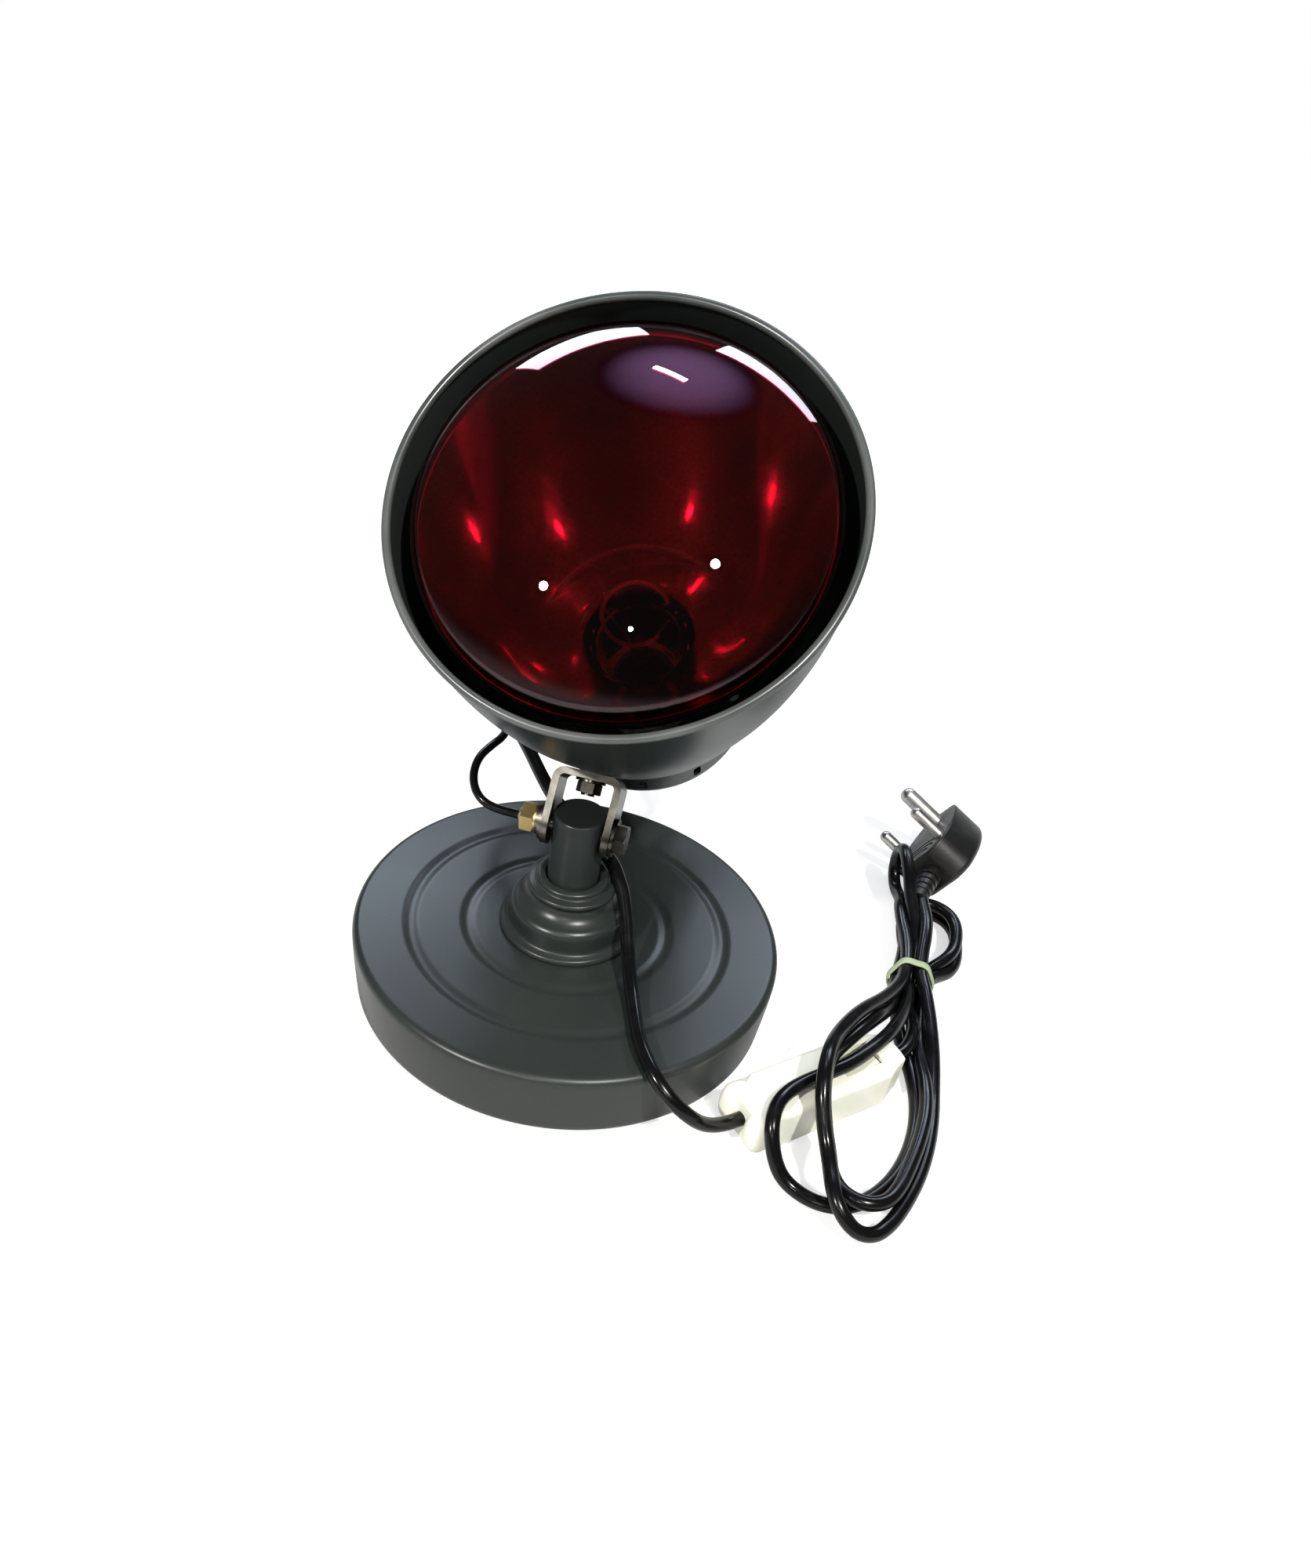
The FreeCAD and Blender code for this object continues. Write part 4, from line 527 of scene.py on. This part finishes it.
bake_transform(wire)

# %% [markdown]
# The plug's pins are solid plated rods with domed tips, let into a flat moulded face. They are turned
# shapes along the pins' own direction, as thick and as long as the solid ones.

# %% Plug pins
PIN_WAY = np.array((-0.8644, 0.1785, 0.4700))
PIN_ROOT_MM = 3.0
# foot, radius and reach
pin_table = {
    "pin_neutral": ((133.39, 117.12, 29.01), 2.54, 15.9),
    "pin_live": ((124.61, 118.88, 12.19), 2.54, 15.9),
    "pin_earth": ((133.46, 139.75, 20.54), 3.53, 20.6),
}


def pin_grid(foot, radius, reach, turns=40):
    """Rings along the pin: full radius, then a dome whose radius is the square root of 1 - t squared."""
    dome = np.linspace(0, 1, 9)[1:]
    straight = np.linspace(-0.5, reach - radius, 6)
    along = np.concatenate([[-PIN_ROOT_MM], straight, reach - radius + radius * dome])
    narrowing = np.sqrt(np.maximum(1 - dome**2, 1e-4))
    wide = np.concatenate([np.full(1 + len(straight), radius), radius * narrowing])
    side = np.cross(PIN_WAY, (0, 0, 1))
    side /= np.linalg.norm(side)
    other = np.cross(PIN_WAY, side)
    angle = np.linspace(0, 2 * np.pi, turns, endpoint=False)[None, :, None]
    ring = np.cos(angle) * side + np.sin(angle) * other
    return (np.array(foot) + along[:, None, None] * PIN_WAY + wide[:, None, None] * ring) * MM


pins = [piece(name, grid_mesh(name, pin_grid(*row)), "plated_pin", "stand")
        for name, row in pin_table.items()]
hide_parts("plug_pins")
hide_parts("plug_earth_pin")
print("pins", len(pins))

# %% [markdown]
# The mains cord from the switch to the plug is folded into a hank and tied. It is one line from end to
# end: up to the tie, round an inner side loop, down a long loop and back, round the outer side loop, round
# the widest loop that lies across the switch, up to the top fold, down the topmost long loop and up to the
# plug. Nothing in it moves, so it stays a round spline with a bevel.

# %% Mains cord
supply_points = [
    (126.67, -7.38, 8.5), (131, -2.9, 8.5), (134.4, 3.6, 8.3), (136, 12, 7.4), (136, 21, 5), (135, 31, 2.8),
    (134.8, 41, 2.6), (136.4, 49.4, 2.9),
    # inner side loop, resting on the outer one
    (140.4, 55.4, 5.2), (145.4, 60.4, 7.4), (148.6, 67.4, 7.9), (149.4, 76.4, 7.9), (148.6, 85.5, 7.9),
    (144.6, 92.3, 7.9), (137.4, 95, 7.9), (130.2, 92.3, 7.9), (126.8, 85.5, 7.9), (127.4, 76, 7.9),
    (128.8, 66, 7.8), (128.6, 54, 7.3), (127.2, 42.4, 7.2),
    # lower long loop
    (127, 33, 8), (126.2, 23, 10.4), (123.8, 13, 14.2), (120.2, 3.6, 18.6), (116, -5, 20.4),
    (111.4, -14, 20.8), (107.6, -22.6, 22), (105.2, -31.4, 25.2), (104.8, -40.6, 25.2), (106.4, -47.4, 20.6),
    (109.4, -53, 14), (112.6, -59, 9.4), (114.4, -65.8, 7.8), (119, -72, 7.8), (126.4, -73.9, 7.8),
    (133.2, -70.4, 7.4), (137, -62.8, 7.1), (139.8, -51.6, 7.1), (142.2, -39, 7.1), (143.6, -25, 7.1),
    (142.4, -11, 7), (140, 1, 5.2), (139.3, 12, 3.8), (139.6, 23, 4.2), (139, 33.6, 5.6), (138.6, 40, 6.8),
    (139.8, 46.6, 6.6),
    # outer side loop, on the floor
    (143.4, 52.4, 4.8), (148.2, 58.4, 3), (150.8, 66.6, 2.7), (150.8, 76.4, 2.7), (149.7, 86, 2.7),
    (145.6, 92.8, 2.7), (138.4, 95.5, 2.7), (131, 92.8, 2.7), (127.3, 86, 2.7), (128.2, 76, 2.7),
    (130.4, 65, 2.6), (130.6, 53, 2.6), (129.8, 42.4, 2.6),
    # widest loop, over the switch
    (129.6, 30, 2.6), (131.2, 17, 2.6), (135, 4.6, 2.6), (138.8, -7, 2.6), (141, -19, 2.6),
    (141.2, -32.4, 2.6), (139, -46, 2.6), (134.6, -58, 2.6), (128.4, -67.6, 2.6), (120.4, -73.8, 2.6),
    (112, -75, 2.6),
    (104.6, -73, 2.8), (98.4, -70.8, 5.6), (94, -67.4, 12), (91.2, -61.8, 19), (91.4, -54, 20.6),
    (94.2, -46.6, 20.2), (99.4, -39.4, 20), (106.2, -32.6, 20), (113.4, -25, 20), (120, -14.6, 20.2),
    (125.6, -3, 18.8), (129.2, 9.6, 15), (131.4, 21, 11.4), (132.4, 32, 8.6), (132.5, 42.4, 7.2),
    # top fold
    (133.4, 52, 8.6), (133, 62, 11), (130.4, 72, 14.6), (127, 82, 18), (124.8, 90.6, 22), (122.6, 98, 24.8),
    (121, 105.6, 24.8), (119.8, 111.4, 21), (119.4, 113.4, 14.6), (120.2, 111.4, 8.2), (122, 105.8, 4.6),
    (124, 97.8, 6.2), (124.6, 90, 10), (124, 82, 12.8), (125.6, 72, 12.8), (128.4, 61, 12.7),
    (129.6, 51, 12.3), (129.8, 42.4, 12),
    # upper long loop
    (128.2, 33, 13.2), (125, 23, 15.8), (120.6, 12.6, 19.4), (115.2, 2.4, 23.2), (110.6, -8, 25.8),
    (106.6, -19, 27.4), (104.2, -31, 30.6), (103.8, -43.2, 30.6), (105.2, -50.6, 26), (108, -56.4, 19.6),
    (111, -62, 15), (113.2, -68.4, 13.2), (114.8, -75, 13), (118.2, -81, 10.4), (124.8, -83.8, 5.2),
    (131.6, -81.2, 2.7), (136.6, -74, 2.6), (140.8, -63, 2.6), (144.2, -50.6, 2.6), (146.2, -37, 2.6),
    (146.8, -23.6, 2.6), (146.2, -10, 2.8), (145, 2, 5), (143, 12, 8), (140.8, 22.6, 10), (138.2, 33, 11.6),
    # up to the plug
    (135.4, 43, 12.2), (135, 52, 13.7), (135.2, 61, 15.8), (134.8, 71, 16.8), (132.9, 80, 16.6),
    (131.15, 88.96, 16.44),
]
supply_curve = route_curve("mains_cord", supply_points)
supply_curve.bevel_depth = CORD_MM / 2 * MM
supply_curve.bevel_resolution = 6
supply_curve.use_fill_caps = True
supply = piece("mains_cord", supply_curve, "cord_sheath", "stand", "supply_lead_start", "supply_lead_end",
               "cord_hank_loops", "cord_hank_fold", "cord_side_loop", "cord_hank_waist")
supply_line = line_of(supply_points)

# %% [markdown]
# The bulb is a blown mushroom of ruby glass, silvered inside from its widest ring back to the neck. Both
# are turned shapes: a profile of depth and radius, swept round the lamp's axis. The profile runs smoothly
# through a few stations, each with its slope, and the glass is a true wall, so light bends through it.

# %% Bulb
SHADE_LEAN = math.radians(40.0)
MOUTH = np.array((0.0, 2.2567, 188.1686))
GLASS_WALL, FILM_OUTSIDE, FILM_INSIDE = 1.0, 1.15, 1.4
AXIS_RADIUS = 0.02
# depth behind the mouth, radius and slope
bulb_stations = np.array([(-17.5, 0.0, -90.0), (0.2, 62.0, -56.0), (8.0, 65.2, 16.0), (50.0, 50.0, 27.0),
                          (86.05, 23.23, 40.0), (100.05, 17.58, 4.0), (128.0, 15.62, 4.0)])


def through(stations, steps=24):
    """Cubic arcs from station to station: each leaves along (cos, -sin) of its slope, as long as the gap."""
    place, slope = stations[:, :2], np.radians(stations[:, 2])
    lean = np.column_stack([np.cos(slope), -np.sin(slope)])
    t = np.linspace(0, 1, steps)[None, :, None]
    a, b, m, n = place[:-1, None], place[1:, None], lean[:-1, None], lean[1:, None]
    gap = np.linalg.norm(b - a, axis=-1, keepdims=True)
    arcs = (a * (2 * t**3 - 3 * t**2 + 1) + b * (3 * t**2 - 2 * t**3)
            + gap * (m * (t**3 - 2 * t**2 + t) + n * (t**3 - t**2)))
    line = arcs[:, :-1].reshape(-1, 2)
    return np.vstack([line, stations[-1:, :2]])


def offset(line, wall):
    """The same line moved inwards, towards the axis side, by the wall."""
    along = np.gradient(line, axis=0)
    along /= np.linalg.norm(along, axis=1, keepdims=True)
    return line + wall * np.column_stack([along[:, 1], -along[:, 0]])


def turned(line, turns=128):
    """A profile of (height, radius) swept round the z axis, and kept a hair off it."""
    angle = np.linspace(0, 2 * np.pi, turns, endpoint=False)
    radius = np.maximum(line[:, 1:], AXIS_RADIUS)
    return np.stack(np.broadcast_arrays(radius * np.cos(angle), radius * np.sin(angle), line[:, :1]), axis=-1)


def on_head(points):
    """From the shade's own frame, mouth at the origin and z outwards, to the shared frame."""
    turn = np.array([[1, 0, 0], [0, math.cos(SHADE_LEAN), -math.sin(SHADE_LEAN)],
                     [0, math.sin(SHADE_LEAN), math.cos(SHADE_LEAN)]])
    return (points @ turn.T + MOUTH) * MM


def shell(outer, inner):
    """The outer line and then the inner one back, as a closed profile of (height, radius)."""
    line = np.vstack([outer, inner[::-1]])
    return line * (-1.0, 1.0)


glass_line = through(bulb_stations)
glass_grid = on_head(turned(shell(glass_line, offset(glass_line, GLASS_WALL)), 160))[:, ::-1]
glass = piece("ruby_bulb", grid_mesh("ruby_bulb", glass_grid), "ruby_glass", "head", "bulb_glass")
mirror_line = through(bulb_stations[2:6])
mirror_shell = shell(offset(mirror_line, FILM_OUTSIDE), offset(mirror_line, FILM_INSIDE))
mirror_grid = on_head(turned(mirror_shell))[:, ::-1]
mirror = piece("bulb_silvering", grid_mesh("bulb_silvering", mirror_grid, wrap_u=True), "mirror_film", "head",
               "bulb_reflector")
print("bulb", len(glass.data.polygons), "and", len(mirror.data.polygons), "faces")

# %% [markdown]
# The base is a pressed drum with two soft rings pressed into its top, and the collar on it is a turned
# cover: a flange, a low drum, a flare, a bead and a ring that meets the post. Both are turned shapes too,
# and their edges are rounded as pressed and turned parts are, which is where the paint takes the light.

# %% Base and collar
BASE_TOP, BASE_EDGE, BASE_ROUND, BASE_BORE = 27.0, 81.0, 3.0, 10.2
# middle, half width and half depth
grooves = ((59.5, 3.6, 0.26), (38.0, 3.4, 0.22))


def pressed_top(radius):
    """Height of the base's top: less, at each groove, its half depth times 1 + cos of the way across it."""
    height = np.full_like(radius, BASE_TOP)
    for middle, half_width, half_depth in grooves:
        height -= half_depth * (1 + np.cos(np.pi * np.clip(np.abs(radius - middle) / half_width, 0, 1)))
    return height


across = np.linspace(BASE_BORE, BASE_EDGE - BASE_ROUND, 170)
top_line = np.column_stack([pressed_top(across), across])
round_angle = np.linspace(np.pi / 2, 0, 14)
base_edge = np.column_stack([BASE_TOP - BASE_ROUND + BASE_ROUND * np.sin(round_angle),
                             BASE_EDGE - BASE_ROUND + BASE_ROUND * np.cos(round_angle)])
base_wall_line = np.column_stack([np.linspace(23.0, 1.6, 14), 80.98 - 1.3 * np.linspace(0, 1, 14) ** 1.3])
base_outer = np.vstack([top_line, base_edge[1:], base_wall_line, [(1.0, 79.3)]])
base_inner = np.array([(1.0, 78.2), (20.0, 79.0), (23.6, 78.2), (24.6, 76.0), (24.9, 40.0),
                       (24.9, BASE_BORE)])
base_profile = np.vstack([base_outer, base_inner])
base = piece("base_drum", grid_mesh("base_drum", turned(base_profile, 192)[:, ::-1] * MM, wrap_u=True),
             "charcoal_paint", "stand", "base_shell")


def rounded(points, steps=10):
    """A closed line through the points: on each span, the cubic set by the points before and after it."""
    before, here, after, beyond = (np.roll(points, k, axis=0)[:, None] for k in (1, 0, -1, -2))
    t = np.linspace(0, 1, steps, endpoint=False)[None, :, None]
    line = 0.5 * (2 * here + t * (after - before) + t**2 * (2 * before - 5 * here + 4 * after - beyond)
                  + t**3 * (3 * here - before - 3 * after + beyond))
    return line.reshape(-1, points.shape[1])


# height and radius, up the outside and down the inside
collar_points = np.array([
    (27.0, 24.6), (27.2, 25.5), (28.2, 25.9), (29.3, 25.4), (29.9, 24.2), (30.5, 23.2), (31.6, 22.7),
    (34.0, 22.6), (36.4, 22.5), (38.0, 22.0), (39.2, 20.9), (40.0, 19.2), (41.0, 17.6), (42.4, 16.3),
    (44.0, 15.5), (45.2, 15.5), (45.9, 16.3), (46.9, 16.7), (47.8, 16.2), (48.2, 15.0), (48.5, 13.9),
    (49.2, 13.5), (50.2, 13.4), (50.8, 12.6), (50.9, 11.2), (50.4, 10.1), (48.0, 9.9), (45.0, 11.5),
    (41.0, 14.0), (38.0, 17.0), (36.0, 20.0), (32.0, 21.2), (28.6, 22.4), (27.2, 23.4)])
collar_grid = turned(rounded(collar_points))[:, ::-1] * MM
collar = piece("turned_collar", grid_mesh("turned_collar", collar_grid, wrap_u=True), "charcoal_paint",
               "stand", "base_collar")
print("base", len(base.data.polygons), "collar", len(collar.data.polygons), "faces")

# %% [markdown]
# The shade's mouth is rolled outwards into a lip. The lip's paint is painted paler than the shade's and given
# a stronger gloss, a painted highlight all round the rolled edge. It is a ring swept round the mouth, just
# over the solid one.

# %% Rolled lip
def lip_painted_highlight():
    """The same paint painted paler as a highlight, paler still where the cloud is high, and with a stronger
    gloss.
    """
    f = Finish("lip_painted_highlight")
    cloud, peel = f.noise(26.0, 3.0), f.noise(420.0, 2.0)
    # painted highlight: the lip's colour is paler than the shade's charcoal
    tone = f.blend(f.between(cloud, 0.3, 0.7), (0.035, 0.042, 0.041), (0.075, 0.083, 0.080))
    return f.surface(Base_Color=tone, Roughness=f.between(cloud, 0.3, 0.7, 0.28, 0.4), Specular_IOR_Level=0.7,
                     Normal=f.bump(peel, 0.012, 0.3))


LIP_DEPTH, LIP_RING, LIP_ROUND = 1.3, 71.7, 1.42
section = np.linspace(0, 2 * np.pi, 20, endpoint=False)
lip_line = np.column_stack([-LIP_DEPTH - LIP_ROUND * np.cos(section), LIP_RING + LIP_ROUND * np.sin(section)])
finishes["lip_painted_highlight"] = lip_painted_highlight()
lip = piece("rolled_lip", grid_mesh("rolled_lip", on_head(turned(lip_line, 192)), wrap_u=True),
            "charcoal_paint", "head")
lip.data.materials[0] = finishes["lip_painted_highlight"]
print("lip", len(lip.data.polygons), "faces")

# %% [markdown]
# The switch's case swells beside the cord's entry, where its two halves are screwed together. The swellings
# are rounded boxes: a grid over a ball, with each direction's sine and cosine raised to a power below one.

# %% Switch swellings
SWITCH_TURN = np.radians(45.9)
SWITCH_MIDDLE = (104.75, -30.0, 0.0)
SWELL_HALF_SIZES = np.array((5.6, 4.9, 8.3))
SWELL_POWER, SWELL_POLE = 0.75, np.pi / 2 - 0.02


def shaped(value, power):
    """The value raised to that power, with its sign kept."""
    return np.sign(value) * np.abs(value) ** power


def swelling(middle, rows=25, columns=36):
    """half size times signed powers of cos b cos a, cos b sin a and sin b; power 1 is a ball, 0 a box."""
    b = np.linspace(-SWELL_POLE, SWELL_POLE, rows)[:, None]
    a = np.linspace(0, 2 * np.pi, columns, endpoint=False)[None]
    out, up = shaped(np.cos(b), SWELL_POWER), shaped(np.sin(b), SWELL_POWER)
    unit = (out * shaped(np.cos(a), SWELL_POWER), out * shaped(np.sin(a), SWELL_POWER), up)
    return np.array(middle) + np.stack(np.broadcast_arrays(*unit), axis=-1) * SWELL_HALF_SIZES


def on_switch(points):
    """From the switch's own frame, long way along x, to the shared frame."""
    c, s = np.cos(SWITCH_TURN), np.sin(SWITCH_TURN)
    return (points @ np.array([[c, s, 0], [-s, c, 0], [0, 0, 1]]) + SWITCH_MIDDLE) * MM


swell_table = {"switch_swell_left": (-30.6, 7.2, 8.4), "switch_swell_right": (-30.6, -7.2, 8.4)}
swellings = [piece(name, grid_mesh(name, on_switch(swelling(middle))), "ivory_plastic", "stand")
             for name, middle in swell_table.items()]
print("swellings", len(swellings))

# %% [markdown]
# A soft pale green band holds the hank together. It hugs seven strands packed like a hexagon, so its
# outline is a circle with six low waves, and its section is a flat strip with rounded edges.

# %% Tie band
TIE_MIDDLE = np.array((132.7, 42.2, 7.3))
TIE_RADIUS, TIE_WAVE, TIE_WIDTH, TIE_THICK = 8.5, 0.35, 3.0, 1.0
TIE_LOWEST, TIE_LEAN, TIE_DRIFT = -6.6, 0.28, 0.3


def band_grid(turns=96, sides=16):
    """Rings round a wavy circle: radius + wave cos 6a, section a rounded strip, all leant back a little."""
    a = np.linspace(0, 2 * np.pi, turns, endpoint=False)[:, None]
    b = np.linspace(0, 2 * np.pi, sides, endpoint=False)[None]
    strip, thick = shaped(np.cos(b), 0.45), shaped(np.sin(b), 0.7)
    radius = TIE_RADIUS + TIE_WAVE * np.cos(6 * a) + TIE_THICK / 2 * thick
    x, z = radius * np.cos(a), np.maximum(radius * np.sin(a), TIE_LOWEST + TIE_THICK / 2 * thick)
    y = TIE_WIDTH / 2 * strip + TIE_LEAN * z + TIE_DRIFT * np.sin(3 * a + 1)
    return (TIE_MIDDLE + np.stack(np.broadcast_arrays(x, y, z), axis=-1)) * MM


tie = piece("hank_tie", grid_mesh("hank_tie", band_grid(), wrap_u=True), "tie_band", "stand", "cord_tie")
print("tie", len(tie.data.polygons), "faces")
